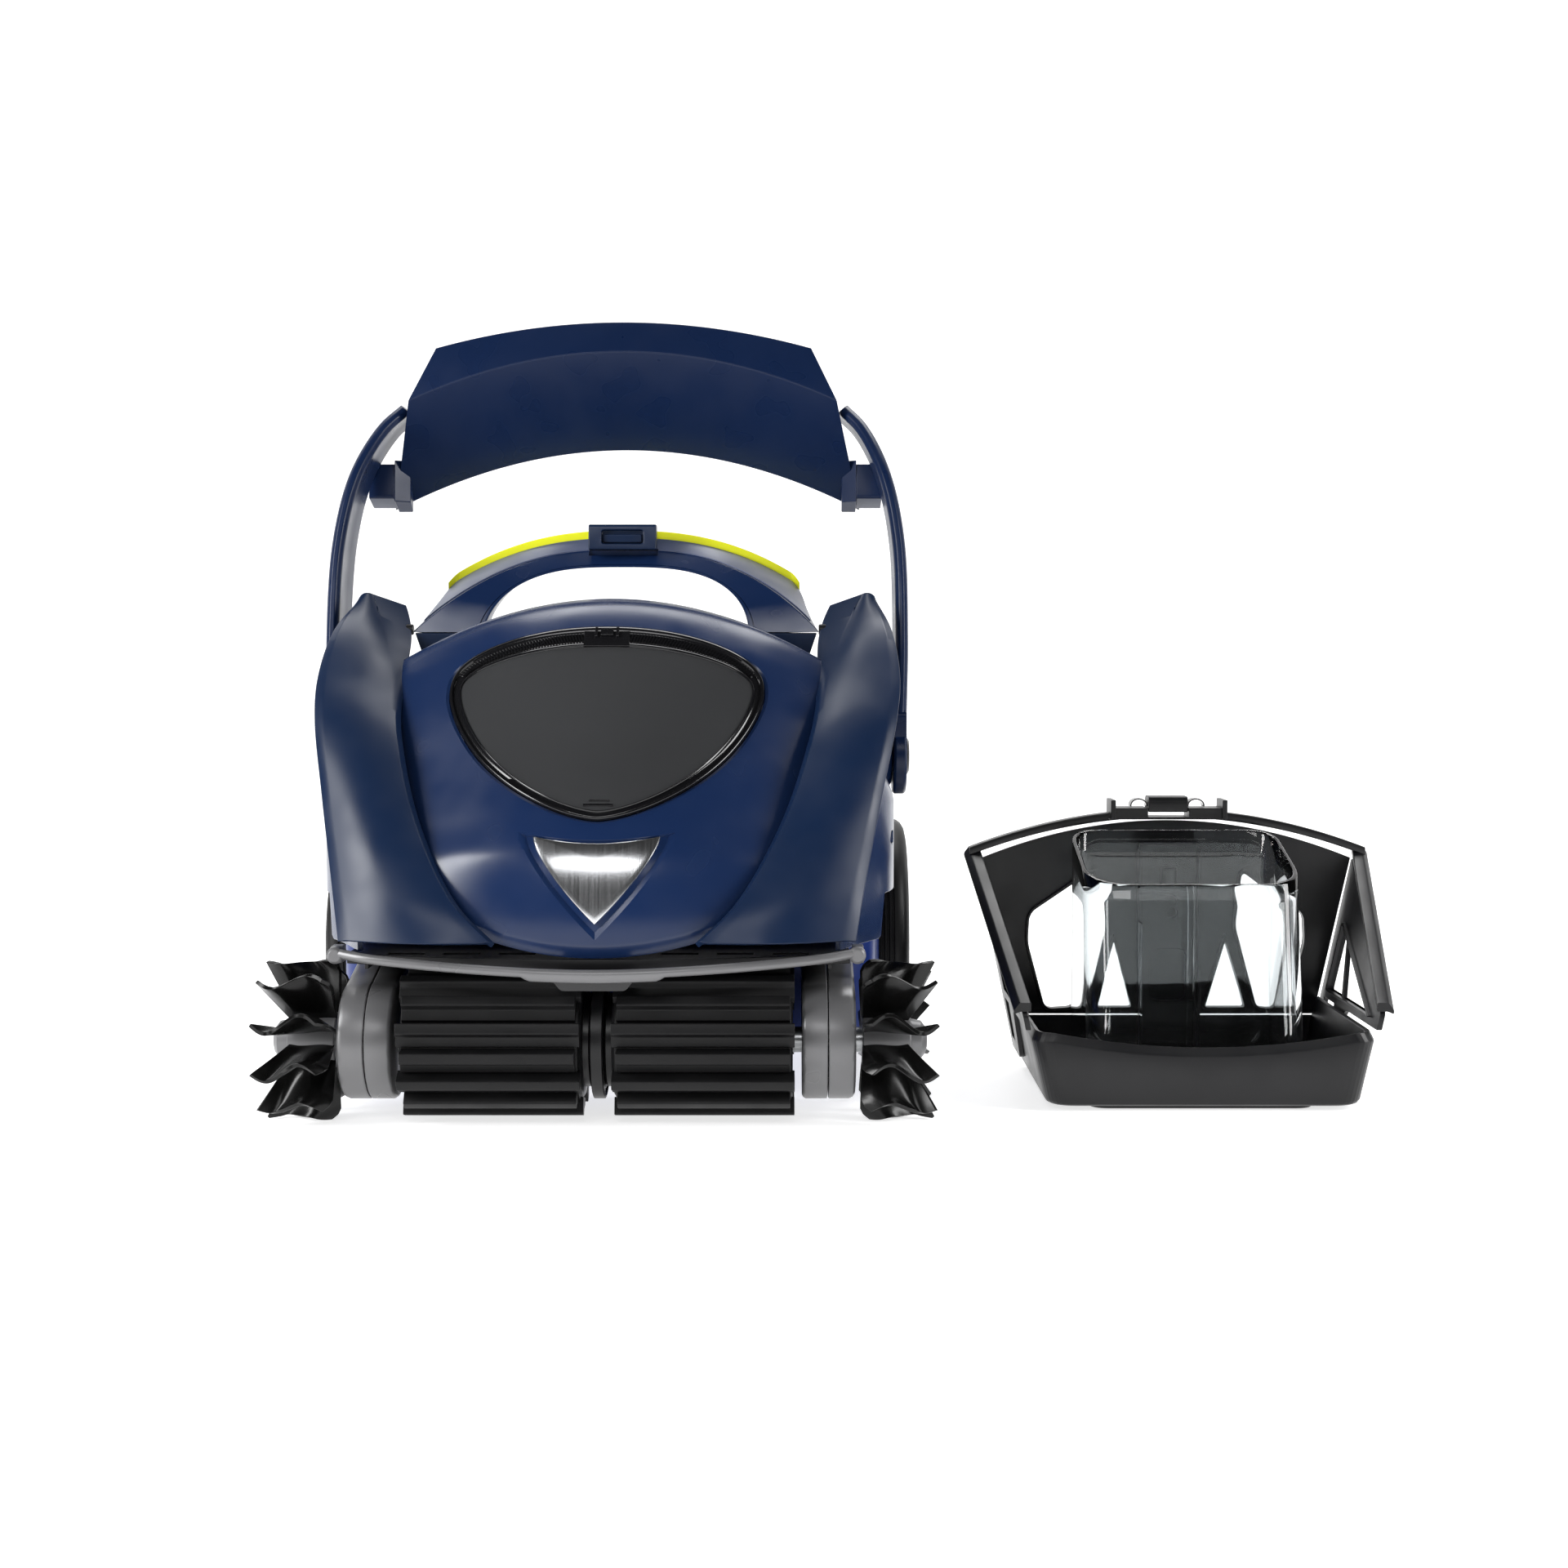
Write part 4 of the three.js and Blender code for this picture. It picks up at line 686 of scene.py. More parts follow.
def hoop_arm():
    rings = []
    for t in steps(70):
        centre, along = HOOP.at(t), HOOP.tangent(t)
        out = Vector((along.z, 0, -along.x)).normalized()
        depth = 23 - 4 * abs(t - 0.4)

        def corner(side, back):
            return centre + out * (side * 4) + Vector((0, back * depth, 0))

        section = [(corner(1, -0.85), 2), (corner(1, 0.85), 2), (corner(0.35, 1), 1),
                   (corner(-0.35, 1), 1), (corner(-1, 0.85), 2), (corner(-0.6, 0), 6),
                   (corner(-1, -0.85), 2), (corner(-0.35, -1), 1), (corner(0.35, -1), 1)]
        rings.append(rounded_section(section))
    y, z = HOOP_PIVOT
    disc = moved(rod(23, 166, 174, edge=1.2, segments=96), 0, y, z)
    foot = cut(disc, moved(rod(6.4, 150, 190), 0, y, z))
    neck_side = [(y - 19, z + 4, 0), (y + 21, z + 4, 0), (y + 23, 220, 4), (y - 20, 220, 4)]
    neck = prism(rounded(neck_side), "x", 166.2, 173.8)
    lug = prism(rounded([(204, 352, 2), (222, 346, 2), (226, 366, 2), (208, 374, 2)]), "x", 146, 162)
    gusset = []
    for x, lean in ((137, 8), (146, 0)):
        side = [(205 + lean, 350), (222, 344), (226, 368), (207 + lean, 376)]
        gusset.append([Vector((x, a, b)) for a, b in side])
    return combine(tube(rings), foot, neck, lug, tube(gusset))


def crossbar():
    rings = []
    for t in steps(110):
        s = mix(-1, 1, t)
        top = Vector((117 * s, 196, 461 - 16 * s * s))
        ridge = Vector((133 * s, 185, 441 - 30 * s * s))
        low = Vector((148.5 * s, 224, 383 - 38 * s * s))
        back = [low + Vector((0, 5, 3.4)), ridge + Vector((0, 7.3, 0.3)), top + Vector((0, 5.3, -2.9))]
        section = [(top, 1.4), (ridge, 0.9), (low, 1.4), (back[0], 1.4), (back[1], 2), (back[2], 1.4)]
        rings.append(rounded_section(section))
    return tube(rings)


def build_hoop():
    pair("hoop_blade", hoop_arm(), "hoop", NAVY_HOOP, ["hoop_arm"], bevel=0.5, crease=32)
    piece("hoop_visor", crossbar(), "hoop", NAVY_HOOP, ["hoop_crossbar"], crease=24)
    y, z = HOOP_PIVOT
    cap = lathe([(173.6, 0), (173.6, 11), (175, 11), (176, 9.5), (176, 3), (175.2, 2.4), (175.2, 0)])
    pair("hoop_cap", moved(cap, 0, y, z), "hoop", BLACK)


# ---------- Chassis ----------
WHEEL_AXLE = (189, 75)  # Y and Z
OUTLET_Y = 235


def both_sides(half):
    return half + [(-a, b, radius) for a, b, radius in reversed(half)]


TUB = both_sides([(128, 46, 10), (152, 60, 14), (157, 108, 4), (145.5, 112, 2), (145.5, 238, 16),
                  (118, 262, 16)])


LEAST_RADIUS = 0.02  # a shrunk corner stays rounded, so all levels of a tube have equally many points


def shrunk(points, distance):
    """The outline moved inwards; its corners run anticlockwise, and stay rounded so that counts match."""
    made = []
    for i, (a, b, radius) in enumerate(points):
        corner = Vector((a, b))
        arriving = (corner - Vector(points[i - 1][:2])).normalized()
        leaving = (Vector(points[(i + 1) % len(points)][:2]) - corner).normalized()
        bisector = Vector((-arriving.y - leaving.y, arriving.x + leaving.x)).normalized()
        reach = distance / max(0.3, bisector.dot(Vector((-leaving.y, leaving.x))))
        made.append((*(corner + bisector * reach), max(LEAST_RADIUS, radius - distance)))
    return made


def stepped(outline, axis, levels, segments):
    """The outline at (place along the axis, how far it is moved inwards) levels."""
    return tube([[PLACES[axis](a, b, along) for a, b in rounded(shrunk(outline, inset), segments)]
                 for along, inset in levels])


def tub():
    levels = [(30, 2.2), (30.7, 0.8), (32.2, 0), (104, 0), (105, 0.8), (107, 0.8), (108, 0), (118, 0)]
    shell = stepped(TUB, "z", levels, 8)
    hollow = prism(rounded(shrunk(TUB, SKIN), 8), "z", 33, 121)
    intake = slab((-95, 95), (78, 110), 5, "z", 26, 36)
    axle = moved(rod(9, -200, 200), 0, *WHEEL_AXLE)
    ribs = [block((x - 1.2, x + 1.2), (124, 226), (28.4, 31)) for x in (-105, -70, -35, 0, 35, 70, 105)]
    screws = [moved(lathe([(27.8, 0), (27.8, 2), (28.6, 4.2), (31, 4.6), (31, 0)], "z", 32), x, y, 0)
              for x in (-118, 118) for y in (70, 236)]
    return combine(cut(shell, hollow, intake, axle), *ribs, *screws)


def side_panel():
    rows = []
    for t in steps(90):
        y = mix(-8, 210, t)
        low = mix(94, 119, ramp(y, 42, 48))
        high = mix(112, 256, ramp(y, -60, 116)) - mix(0, 50, ramp(y, 130, 205))
        row = []
        for s in steps(40):
            z = mix(low, high, s)
            base = mix(104, 151, ramp(y, -90, 60)) - mix(0, 6, ramp(y, 98, 116))
            flare = 13 * ramp(y, 10, 80) * (1 - ramp(y, 92, 112)) * (1 - ramp(z, 168, 204))
            row.append(Vector((base + flare, y, z)))
        rows.append(row)
    y, z = HOOP_PIVOT
    boss = lathe([(143.5, 0), (143.5, 20), (161, 20), (163.5, 19), (165.6, 16), (165.6, 6), (173, 6),
                  (173.4, 5), (173.4, 0)])
    slot = slab((60, 70), (146, 153), 2, "x", 140, 190)
    return combine(cut(sheet(rows, SKIN), slot), moved(boss, 0, y, z))


def rear_shell():
    outline = [(213, 118.4, 2), (258, 118.4, 2), (264, 150, 14), (256, 200, 16), (213, 206, 6)]
    ends = [(-141, 4), (-140, 1.8), (-138, 0.5), (-135, 0), (135, 0), (138, 0.5), (140, 1.8), (141, 4)]
    shell = stepped(outline, "x", ends, 10)
    hollow = prism(rounded(shrunk(outline, SKIN), 10), "x", -138, 138)
    mouth = block((-134, 134), (217, 254), (113, 126))
    outlet = moved(rod(21, 180, 220, "z", segments=96), 0, OUTLET_Y, 0)
    vents = []
    for x in (-96, -72, -48, 48, 72, 96):
        for z in (146, 156, 166):
            vents.append(slab((x - 9, x + 9), (z - 1.6, z + 1.6), 1.6, "y", 250, 275))
    return cut(shell, hollow, mouth, outlet, *vents)


def hinge_ears():
    ear = rounded([(199, 206, 4), (214, 194, 0), (215, 204, 0), (209, 219, 5), (199, 218, 5)])
    parts = [prism(ear, "x", low, high) for low, high in ((84, 91.5), (108.5, 116))]
    return combine(*parts, block((84, 116), (211, 215), (190, 200)))


def outlet_grille():
    disc = rod(20.4, 196.5, 199, "z", edge=0.4, segments=96)
    halves = [(x, sqrt(16**2 - x * x)) for x in (-12, -6, 0, 6, 12)]
    slots = [block((x - 2, x + 2), (-half, half), (190, 205)) for x, half in halves]
    return moved(cut(disc, *slots), 0, OUTLET_Y, 0)


def front_guard():
    edge = [(136 * (2 * t - 1), -12 - 46 * 2 * t * (1 - t)) for t in steps(40)]
    slots = [block((x - 10, x + 10), (-16, -9), (80, 110)) for x in (-104, -74, -44, 44, 74, 104)]
    board = cut(prism([(-136, 45.5), *edge, (136, 45.5)], "z", 87.6, 93), *slots)
    ribs = [block((x - 1, x + 1), (-14, 44), (84.9, 88)) for x in (-125, -89, -59, 59, 89, 125)]
    return combine(board, *ribs)


BUMPER = Route((-138, -25, 95), (-120, -33, 93), (-60, -44.5, 89), (0, -48, 87), (60, -44.5, 89),
               (120, -33, 93), (138, -25, 95))


def bumper():
    rings = []
    for t in steps(120):
        centre, along = BUMPER.at(t), BUMPER.tangent(t)
        side = along.cross(Vector((0, 0, 1))).normalized()
        lift = side.cross(along)
        thick = 1 + 0.75 * ramp(37 - abs(centre.x), 0, 3)  # a deeper strip in the middle
        ring = []
        for k in range(20):
            a = tau * k / 20
            down = 2.6 * (thick if sin(a) < 0 else 1)
            ring.append(centre + side * (2.6 * cos(a)) + lift * (down * sin(a)))
        rings.append(ring)
    ends = [moved(rod(4.6, -28, -18, "y", edge=1.5), x, 0, 94) for x in (-139.5, 139.5)]
    brackets = [prism(rounded([(-22, 89, 3), (-10, 89, 1), (-10, 98, 1), (-22, 98, 3)]), "x", *span)
                for span in ((-143, -137), (137, 143))]
    return combine(tube(rings), *ends, *brackets)


def build_chassis():
    piece("tub_shell", tub(), "chassis", BLUE, ["chassis_tub"], bevel=0.4, crease=32)
    pair("side_skin", side_panel(), "chassis", NAVY, ["side_panel"], bevel=0.5, crease=34)
    rear = combine(rear_shell(), hinge_ears(), mirrored(hinge_ears()))
    piece("rear_cover", rear, "chassis", NAVY, ["rear_shell"], bevel=0.5, crease=34)
    piece("outlet_louvre", outlet_grille(), "chassis", BLACK, ["outlet_grille"], bevel=0.3)
    piece("roller_guard", front_guard(), "chassis", BLACK, ["front_guard"], bevel=0.4)
    piece("bumper_rail", bumper(), "chassis", SILVER, ["bumper_bar"], bevel=0.4, crease=34)
    tab = prism(rounded([(-22, 84, 1), (-17, 78, 2), (17, 78, 2), (22, 84, 1)]), "y", -47, -30)
    piece("pull_tab", tab, "release_tab", BLACK_GLOSS, ["release_tab"], bevel=0.5)
    gland = [(0, 0), (0, 9), (7, 9), (8, 8.4), (10, 7), (22, 5.5), (22, 3.5), (4, 3.5), (4, 0)]
    nut = prism([(9.4 * cos(tau * k / 6), 9.4 * sin(tau * k / 6)) for k in range(6)], "y", 0.5, 6)
    gland_and_nut = moved(combine(lathe(gland, "y", 48), nut), 96, 264.6, 92)
    piece("gland_body", gland_and_nut, "chassis", BLACK, ["cable_gland"], bevel=0.3)


# ---------- Gear cases, brushes and paddles ----------
BRUSH_Z = 44
CASE_HALF_ANGLE = 0.95


def case_outline(inset):
    """A drum and a smaller drum on its arm, joined by straight flanks."""
    reach = (33, 28)
    lean = atan2(reach[1], reach[0])
    drum = [lean + mix(CASE_HALF_ANGLE, tau - CASE_HALF_ANGLE, t) for t in steps(64)]
    arm = [lean + mix(-CASE_HALF_ANGLE, CASE_HALF_ANGLE, t) for t in steps(24)]
    outline = [((32 - inset) * cos(a), (32 - inset) * sin(a)) for a in drum]
    return outline + [(reach[0] + (12 - inset) * cos(a), reach[1] + (12 - inset) * sin(a)) for a in arm]


def gear_case(levels, hollow):
    shell = tube([[Vector((x, y, z)) for y, z in case_outline(inset)] for x, inset in levels])
    inside = prism(case_outline(3), "x", *hollow)
    return cut(shell, inside, rod(7.5, 100, 150))


ROLLER_RADIUS = 41.4
ROLLER_RIBS = 16


def roller():
    """A core with overlapping ribs, every second one a little shorter."""
    each = tau / ROLLER_RIBS
    section = [(-0.10, 9.5, 0), (0.0, 1.0, 0.6), (0.03, 0, 0.8), (0.38, 0.2, 0.8), (0.41, 1.6, 0.4),
               (0.46, 3.6, 0.6), (0.84, 5.4, 0.6), (0.90, 9.5, 0)]
    ribs = []
    for k in range(ROLLER_RIBS):
        low, high = (8.4, 106) if k % 2 else (11, 103.6)
        outline = []
        for part, drop, ease in section:
            angle = (k + part) * each
            outline.append(((ROLLER_RADIUS - drop) * cos(angle), (ROLLER_RADIUS - drop) * sin(angle), ease))
        ribs.append(prism(rounded(outline, 3), "x", low, high))
    core = lathe([(9, 7.4), (9, 31), (10, 33.5), (104, 33.5), (105, 31), (105, 7.4), (9, 7.4)])
    return combine(core, *ribs)


PADDLE_BLADES = 10
PADDLE_RADIUS = 42.5


def blade():
    """S-shaped along the axis, its outer end cut back towards the hub and its inner corner rounded."""
    root, span, slant, wave = 11, (143, 183), 16, 5
    rows = []
    for t in steps(40):
        row = []
        for r in steps(12):
            radius = mix(root, PADDLE_RADIUS, r)
            share = (radius - root) / (PADDLE_RADIUS - root)
            end = mix(span[1] - slant, span[1], share)
            start = span[0] + 5 * ramp(share, 0.82, 1.0) ** 2
            push = wave * sin(tau * t) * share + mix(0.7, 0, share)
            row.append(Vector((mix(start, end, t), push + 1.1, sqrt(max(radius**2 - push**2, 1)))))
        rows.append(row)
    return sheet(rows, 2.2)


def shaft():
    profile = [(0.6, 0), (0.6, 6.5), (4, 6.5), (4, 24), (5, 25), (7.5, 25), (7.5, 7), (169.6, 7),
               (169.6, 10.4), (170.4, 11), (175, 10), (177, 7), (178, 4), (178, 0)]
    return lathe(profile)


def build_brushes():
    def on_axis(shape):
        return moved(shape, 0, 0, BRUSH_Z)

    inner = gear_case([(110, 2.2), (110.6, 0.9), (112, 0), (123.3, 0), (123.8, 0.5)], (113, 127))
    outer_edge = [(124.4, 0.5), (124.9, 0), (135.5, 0), (137.6, 0.8), (138.8, 2.6), (139, 4.5)]
    outer = gear_case(outer_edge, (120, 136))
    pair("gearcase_inner_shell", on_axis(inner), "chassis", SILVER, ["gearcase_inner"], crease=34)
    pair("gearcase_outer_shell", on_axis(outer), "chassis", SILVER, ["gearcase_outer"], crease=34)
    sleeve = on_axis(roller())
    pair("roller_sleeve", sleeve, "brush_{side}", RUBBER, ["roller"], bevel=0.35, segments=2, crease=40)
    pair("shaft_turned", on_axis(shaft()), "brush_{side}", STEEL, ["brush_shaft"], crease=30)
    collar = lathe([(3.7, 7.5), (3.7, 24.4), (4.7, 25.4), (7.7, 25.4), (8.3, 30), (9.2, 31), (9.2, 7.5),
                    (3.7, 7.5)])
    pair("roller_collar", on_axis(collar), "brush_{side}", BLACK)
    blades = [spun(blade(), tau * k / PADDLE_BLADES) for k in range(PADDLE_BLADES)]
    paddle = on_axis(combine(*blades))
    pair("paddle_blades", paddle, "brush_{side}", PADDLE_RUBBER, ["paddle"], bevel=0.35, crease=40)
    hub = lathe([(143, 7.5), (143, 14.4), (143.6, 15), (163, 14), (168.6, 13), (169.4, 12), (169.4, 7.5),
                 (143, 7.5)])
    pair("paddle_hub", on_axis(hub), "brush_{side}", SILVER)
    cap = lathe([(169.5, 0), (169.5, 11.4), (175, 10.4), (177.4, 7.4), (178.4, 4), (178.4, 0)])
    pair("paddle_cap", on_axis(cap), "brush_{side}", SILVER)
    plate_profile = [(-3.4, 7), (-3.4, 26), (-2.2, 27), (-2.2, 30), (-3.4, 30.6), (-3.0, 32), (3.0, 32),
                     (3.4, 30.6), (2.2, 30), (2.2, 27), (3.4, 26), (3.4, 7), (-3.4, 7)]
    hanger = block((-3, 3), (-9, 20), (25, 43.2))
    tie = moved(rod(2.8, -7.5, 7.5), 0, 30, -27)
    bearing = on_axis(combine(lathe(plate_profile), hanger))
    piece("bearing_ring", bearing, "chassis", BLACK, ["centre_bearing"], bevel=0.3)
    piece("tie_bar", on_axis(tie), "chassis", SILVER)


# ---------- Wheels ----------
def tyre():
    profile = [(150, 57.4), (150, 66), (150.8, 69.5), (152.6, 72.4), (155, 74.2), (158, 75)]
    for groove in (160, 163, 166):
        profile += [(groove - 0.8, 75), (groove - 0.5, 73.8), (groove + 0.5, 73.8), (groove + 0.8, 75)]
    profile += [(168, 75), (171, 74.2), (173.4, 72.4), (175.2, 69.5), (176, 66), (176, 57.4), (150, 57.4)]
    return lathe(profile, segments=140)


def rim():
    profile = [(150, 8.4), (150, 57), (174, 57), (175, 56), (174, 54), (169.6, 50.6), (169, 49), (169, 22),
               (170.5, 19), (175.2, 16), (176, 15), (176, 8.4), (150, 8.4)]
    windows = [spun(moved(rod(9, 140, 190), 0, 0, 35), tau * k / 5) for k in range(5)]
    return cut(lathe(profile, segments=120), *windows)


def build_wheels():
    def on_axis(shape):
        return moved(shape, 0, *WHEEL_AXLE)

    pair("tyre_tread", on_axis(tyre()), "wheel_{side}", RUBBER, ["tyre"], crease=30)
    pair("wheel_rim", on_axis(rim()), "wheel_{side}", BLACK, ["rim"], bevel=0.6, crease=34)
    cap = lathe([(173.2, 0), (173.2, 8.2), (176.4, 8.2), (177.4, 7), (177.4, 0)])
    pair("wheel_cap", on_axis(cap), "wheel_{side}", SILVER)


# ---------- Filter canister ----------
def from_canister(name, shape, look, replaces=(), body="canister", **options):
    return piece(name, shape, body, look, replaces, origin=CANISTER, **options)


TRAY_BACK, TRAY_FRONT = 65, -68
TRAY_FLOOR, TRAY_RIM = 3, 44


def tray():
    """A scoop: its walls lean out, its front rim sags in the middle and is chamfered."""
    def ring(z, inset, rim_drop=None):
        lean = mix(88, 96, (min(z, TRAY_RIM) - TRAY_FLOOR) / (TRAY_RIM - TRAY_FLOOR))
        half, back, front = lean - inset, TRAY_BACK - inset, TRAY_FRONT + inset
        corners = [(half, front, 14), (half, back, 2), (-half, back, 2), (-half, front, 14)]
        points = rounded(corners, 8)
        filled = []
        for i, (a, b) in enumerate(points):
            after = points[(i + 1) % len(points)]
            filled += [Vector((mix(a, after[0], t), mix(b, after[1], t), z)) for t in steps(12)[:-1]]
        if rim_drop is not None:
            for point in filled:
                dip = 8 * max(0.0, 1 - (point.x / 84) ** 2) * ramp(-point.y, 40, 60)
                point.z = TRAY_RIM - dip - rim_drop
        return filled

    levels = [ring(6, 12), ring(6, 3.2), ring(36, 3, rim_drop=0.6), ring(TRAY_RIM, 2.2, rim_drop=0),
              ring(TRAY_RIM, 0.2, rim_drop=4.4), ring(TRAY_RIM, 0, rim_drop=5.4), ring(6, 0), ring(4, 0.8),
              ring(TRAY_FLOOR, 2.4), ring(TRAY_FLOOR, 12)]
    low_back = block((-100, 100), (61, 70), (32, 60))
    mouth = slab((-50, 50), (-48, -16), 4, "z", -1, 10)
    foot_outline = [(-64, -60, 12), (64, -60, 12), (64, 55, 12), (-64, 55, 12)]
    foot_levels = [(0, 1.4), (1.4, 0), (3.5, 0)]
    foot = stepped(foot_outline, "z", foot_levels, 8)
    return combine(cut(tube(levels), low_back, mouth), cut(foot, mouth))


BACK_WINDOW = [(57, 37, 4), (74, 36, 5), (85, 77, 5), (84, 95, 5), (46, 121, 5), (42, 87, 5)]
BACK_TRIANGLE = [(49, 37, 2), (36, 78, 2), (24, 37, 2)]


def flange(points, axis, low, high, wall=2.0):
    """A raised border round an opening."""
    turned = sum(a * d - c * b for (a, b, _), (c, d, _) in zip(points, points[1:] + points[:1])) < 0
    ordered = points[::-1] if turned else points
    outer = prism(rounded(shrunk(ordered, -wall), 6), axis, low, high)
    inner = prism(rounded(ordered, 6), axis, low - 1, high + 1)
    return cut(outer, inner)


def back_wall():
    corner, centre, half, foot = 129, 152, 113, 92
    arc = [(mix(half, -half, t), corner + (centre - corner) * 4 * t * (1 - t)) for t in steps(40)]
    wall = [(-foot, 32.4), (foot, 32.4), *arc]
    holes, flanges = [], []
    for side in (-1, 1):
        for points in (BACK_WINDOW, BACK_TRIANGLE):
            outline = [(side * a, b, radius) for a, b, radius in points]
            holes.append(prism(rounded(outline, 6), "y", 60, 75))
            flanges.append(flange(outline, "y", 62.5, 68.6, 1.6))
    return combine(cut(prism(wall, "y", 66, 69), *holes), *flanges)


def side_wall():
    outline = [(-60, 44.4, 1), (10, 44.4, 6), (28, 12, 4), (69, 12, 1), (69, 129, 3), (-60, 54, 3)]
    opening = [(-40, 50, 2), (52, 50, 2), (50, 90, 3)]
    tail = [(34, 44, 2), (40, 20, 2), (58, 20, 2), (58, 44, 2)]
    holes = [prism(rounded(points, 6), "x", -5, 10) for points in (opening, tail)]
    rib = prism([(18, 49), (23, 49), (42, 86), (37, 84)], "x", 0.3, 2.7)
    wall = cut(prism(rounded(outline, 6), "x", 0, 3), *holes)
    points, faces = combine(wall, rib, flange(opening, "x", -2, 3, 1.5))
    leaning = []
    for point in points:
        above = point[2] - TRAY_RIM
        climb = above / (TRAY_RIM - TRAY_FLOOR) * 8 if above < 0 else above / 85 * 18
        leaning.append(Vector((point[0] + 96.4 + climb, point[1], point[2])))
    return leaning, faces


def canister_rim():
    """The two side rails and the arched crown, with an outward lip."""
    def rail(side):
        rings = []
        for t in steps(20):
            x = side * mix(99.6, 117.5, t)
            y, z = mix(-60, 69, t), mix(55, 131, t)
            lip = side * 6.5
            corners = [(-3 * side, 0), (3 * side, 0), (lip, -1.5), (lip, 0.8), (3.4 * side, 5),
                       (-3 * side, 5)]
            rings.append(rounded_section([(Vector((x + a, y, z + b)), 0.9) for a, b in corners], 3))
        return tube(rings)

    crown = []
    for t in steps(60):
        s = mix(-1, 1, t)
        x, z = 121 * s, 130.8 + 23.2 * (1 - s * s)
        section = [(62, 0), (71, 0), (71, 5), (62, 5)]
        crown.append(rounded_section([(Vector((x, y, z + b)), 1.2) for y, b in section], 3))
    gap = block((-36, 36), (50, 80), (152.6, 175))
    return combine(cut(tube(crown), gap), rail(1), rail(-1))


CUP = {"half_width": 62, "low": 6.5, "high": 149, "front_low": -60, "front_high": -30, "back": 50}


def cup():
    def loop(front, inset):
        half, back = CUP["half_width"] - inset, CUP["back"] - inset
        near = front + inset
        return rounded([(half, near, 26), (half, back, 18), (-half, back, 18), (-half, near, 26)], 14)

    def ring(share, inset, drop=0.0):
        made = []
        for low, high in zip(loop(CUP["front_low"], inset), loop(CUP["front_high"], inset)):
            foot = Vector((*low, CUP["low"]))
            top = Vector((*high, CUP["high"]))
            reach = 1.0
            for _ in range(4):
                y = mix(foot.y, top.y, reach)
                rim = mix(125, 148, (y + 30) / 80) - drop
                reach = (rim - foot.z) / (top.z - foot.z)
            made.append(foot.lerp(top, reach * share))
        return made

    outside = [ring(share, 0, 1.0) for share in steps(10)]
    inside = [ring(share, 2.4, 1.0) for share in reversed(steps(10))]
    bead = [ring(1, 0.5, 0.2), ring(1, 1.2, 0), ring(1, 1.9, 0.2)]
    return tube([*outside, *bead, *inside], closed=True)


def spine():
    body = block((-18, 18), (57, 61.6), (6.4, 137))
    slot = slab((-11, 11), (42, 74), 6, "y", 50, 70, 8)
    hole = moved(rod(3.2, 50, 70, "y"), 2, 0, 96)
    cheeks = [block((side * 18 - 1, side * 18 + 1), (52, 61.6), (6.4, 134)) for side in (-1, 1)]
    boss = moved(lathe([(112, 0), (112, 5), (123, 5), (124, 4), (124, 0)], "z", 40), 0, 57, 0)
    return combine(cut(body, slot, hole), *cheeks, boss)


def leaf_spring(side):
    rows = []
    for t in steps(16):
        angle = pi * t
        x = side * (17.5 + 4.5 * cos(angle))
        rows.append([Vector((x, y, 160.6 + 4.2 * sin(angle) ** 0.8)) for y in (64, 72)])
    return sheet(rows, 0.8 * side)


def build_canister():
    from_canister("tray_scoop", tray(), BLACK, ["canister_tray"], bevel=0.3, crease=34)
    from_canister("back_frame", back_wall(), BLACK, ["canister_back"], bevel=0.35, crease=34)
    for side, form in (("right", side_wall()), ("left", mirrored(side_wall()))):
        from_canister(f"side_frame_{side}", form, BLACK, [f"canister_side_{side}"], bevel=0.35, crease=34)
    from_canister("rim_rail", canister_rim(), BLACK, ["canister_rim"], crease=34)
    from_canister("cup_clear", cup(), CLEAR, ["canister_cup"], crease=60)
    fins = combine(block((10, 11.4), (30, 47), (8, 104)), block((-20, -18.6), (38, 47), (8, 92)))
    from_canister("cup_fin", fins, CLEAR, bevel=0.3)
    from_canister("spine_rib", spine(), BLACK, ["canister_spine"], bevel=0.4, crease=34)
    bar = cut(block((-34, 34), (59, 77), (153, 160)), block((-12.5, 12.5), (50, 80), (154.4, 170)))
    tabs = [block((x - 1.5, x + 1.5), (57, 77), (153, 165)) for x in (-34, 34)]
    from_canister("top_bridge", combine(bar, *tabs), BLACK, ["canister_top_bar"], bevel=0.5)
    from_canister("leaf_springs", combine(leaf_spring(1), leaf_spring(-1)), BLACK_GLOSS, crease=34)
    key = [(60, 157.4, 1), (76, 157.4, 1), (76, 165, 3), (74, 167, 2), (62, 167, 2), (60, 164, 2)]
    latch = prism(rounded(key), "x", -12, 12)
    from_canister("latch_key", latch, BLACK, ["canister_latch"], body="canister_latch", bevel=0.6)


# ---------- CAD nodes that show as they are ----------
def keep_inner_parts():
    keep(["intake_throat", "control_box", "impeller"], BLACK, 0.5)
    keep(["brush_gear_right", "brush_gear_left", "drive_pinion_right", "drive_pinion_left"], BLACK, 0.2)
    keep(["hinge_pin_right", "hinge_pin_left", "axle_right", "axle_left"], STEEL, 0.3)
    keep(["pump_motor", "drive_motor_right", "drive_motor_left"], STEEL, 0.4)


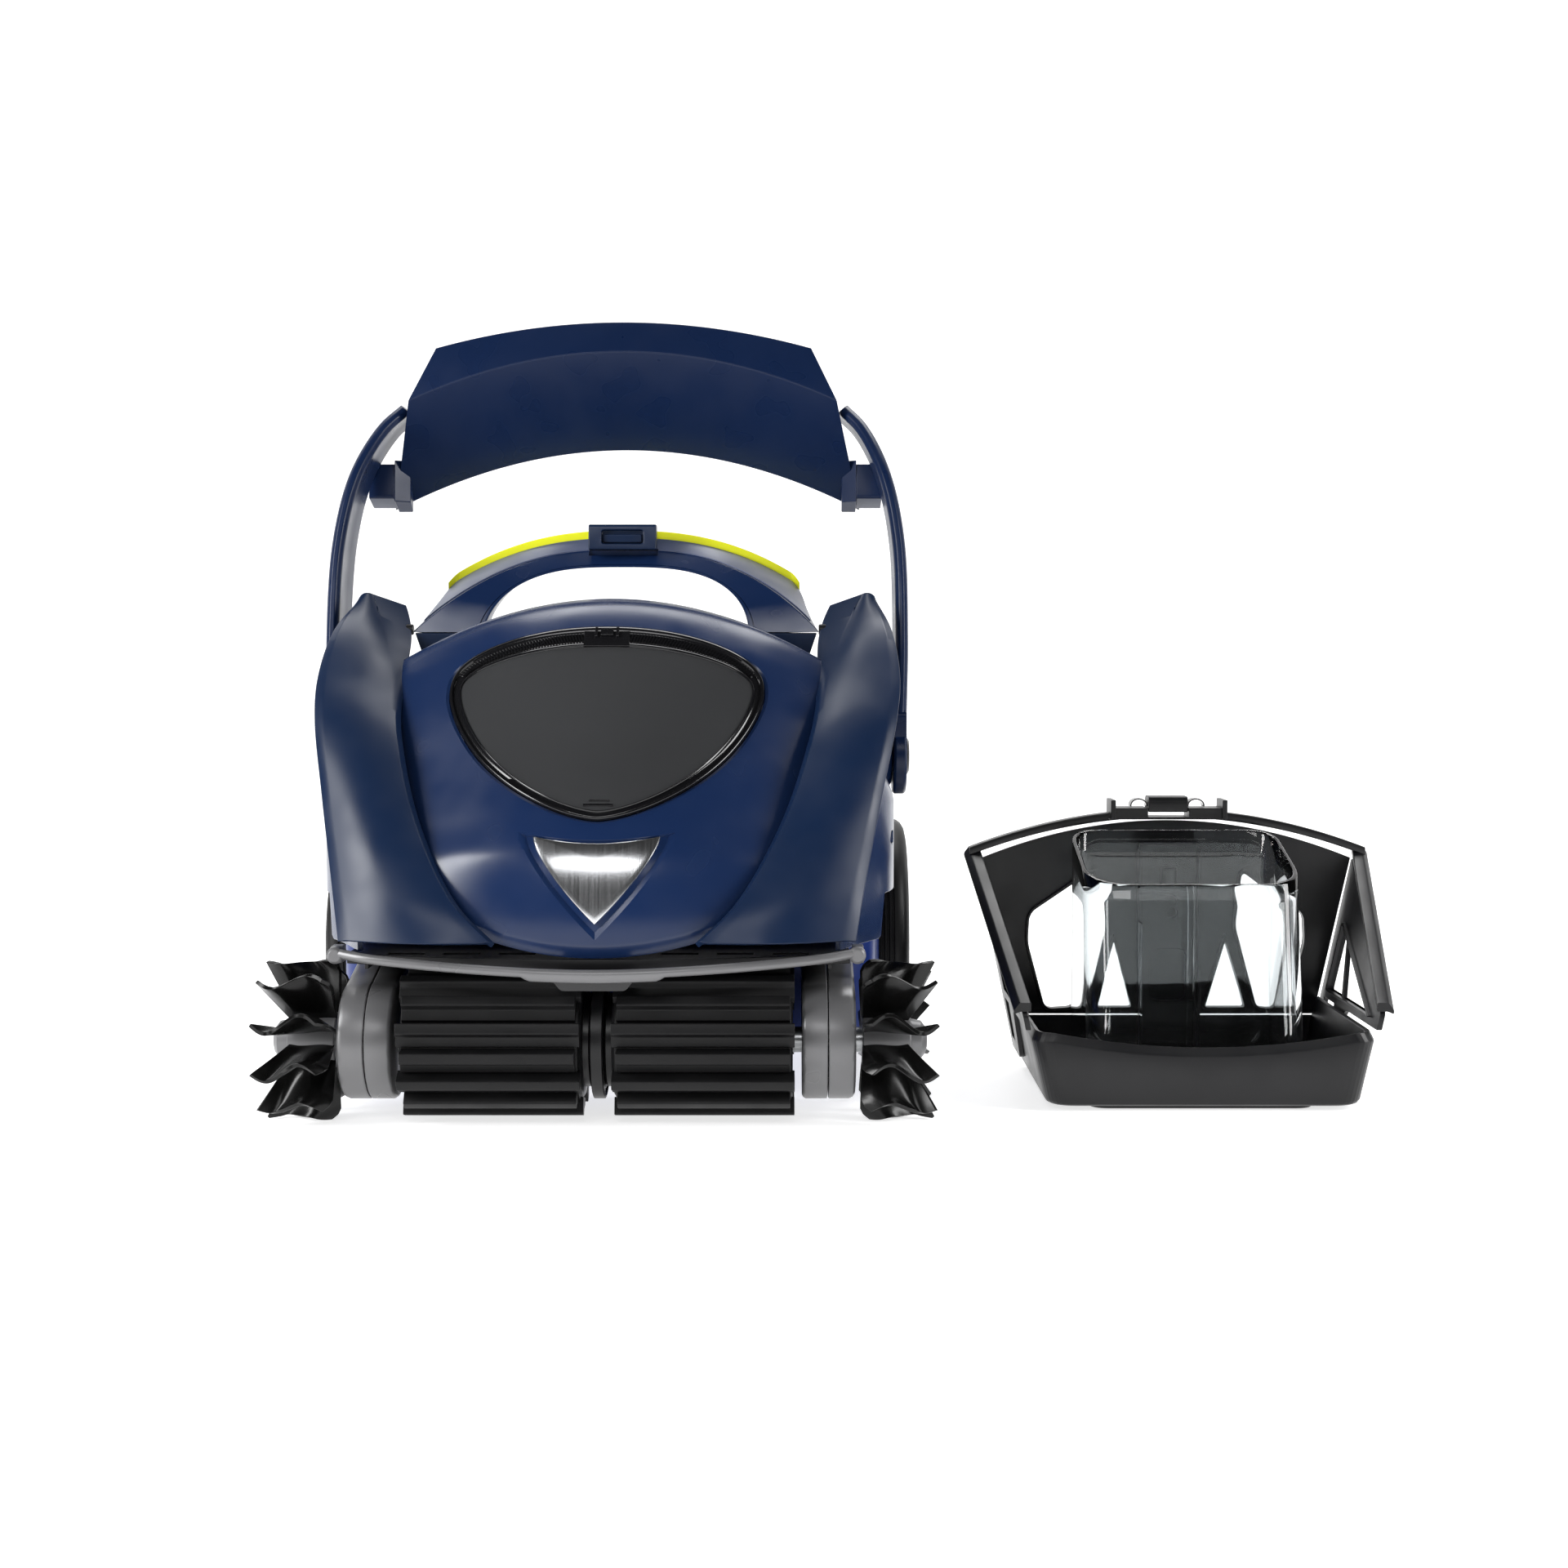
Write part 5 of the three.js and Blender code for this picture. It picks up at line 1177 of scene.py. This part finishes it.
# ---------- Studio ----------
def add_light(name, place, target, size, power, colour=(1, 1, 1)):
    data = bpy.data.lights.new(name, "AREA")
    data.shape = "RECTANGLE"
    data.size, data.size_y = size
    data.energy = power
    data.color = colour
    light = bpy.data.objects.new(name, data)
    light.location = place
    light.rotation_euler = (Vector(target) - Vector(place)).to_track_quat("-Z", "Y").to_euler()
    bpy.context.scene.collection.objects.link(light)


def add_studio():
    material = bpy.data.materials.new("studio_paper")
    material.use_nodes = True
    shader = material.node_tree.nodes["Principled BSDF"]
    shader.inputs["Base Color"].default_value = (0.80, 0.80, 0.80, 1)
    shader.inputs["Roughness"].default_value = 0.9
    shader.inputs["Specular IOR Level"].default_value = 0.1
    shader.inputs["Emission Color"].default_value = (1, 1, 1, 1)
    shader.inputs["Emission Strength"].default_value = 0.72
    bend = [pi / 2 * t for t in steps(16)]
    profile = [(-4, 0), *[(1.6 + 1.2 * sin(a), 1.2 - 1.2 * cos(a)) for a in bend], (2.8, 5)]
    points = [(x, y, z) for y, z in profile for x in (-5, 5)]
    faces = [(2 * i, 2 * i + 1, 2 * i + 3, 2 * i + 2) for i in range(len(profile) - 1)]
    mesh = bpy.data.meshes.new("studio_sweep")
    mesh.from_pydata(points, [], faces)
    mesh.shade_smooth()
    mesh.materials.append(material)
    sweep = bpy.data.objects.new("studio_sweep", mesh)
    bpy.context.scene.collection.objects.link(sweep)
    world = bpy.data.worlds.new("studio")
    world.use_nodes = True
    world.node_tree.nodes["Background"].inputs["Color"].default_value = (1, 1, 1, 1)
    world.node_tree.nodes["Background"].inputs["Strength"].default_value = 0.03
    bpy.context.scene.world = world
    add_light("left_softbox", (-1.5, -0.8, 0.75), (-0.1, 0, 0.2), (0.5, 1.3), 30)
    add_light("right_softbox", (1.6, -0.5, 0.8), (-0.1, 0, 0.2), (0.4, 1.3), 21)
    add_light("top_softbox", (0.0, 0.9, 1.9), (0, 0.05, 0.2), (1.8, 0.8), 28)
    add_light("front_softbox", (-0.3, -1.9, 1.3), (0, 0, 0.15), (1.2, 0.4), 8)
    bpy.context.scene.view_settings.view_transform = "Standard"


build_hood()
pair("wing_skin", wing(), "hood", NAVY_SATIN, ["wing"], bevel=0.5, crease=30)
build_handle()
build_hoop()
build_chassis()
build_brushes()
build_wheels()
build_canister()
keep_inner_parts()
add_studio()
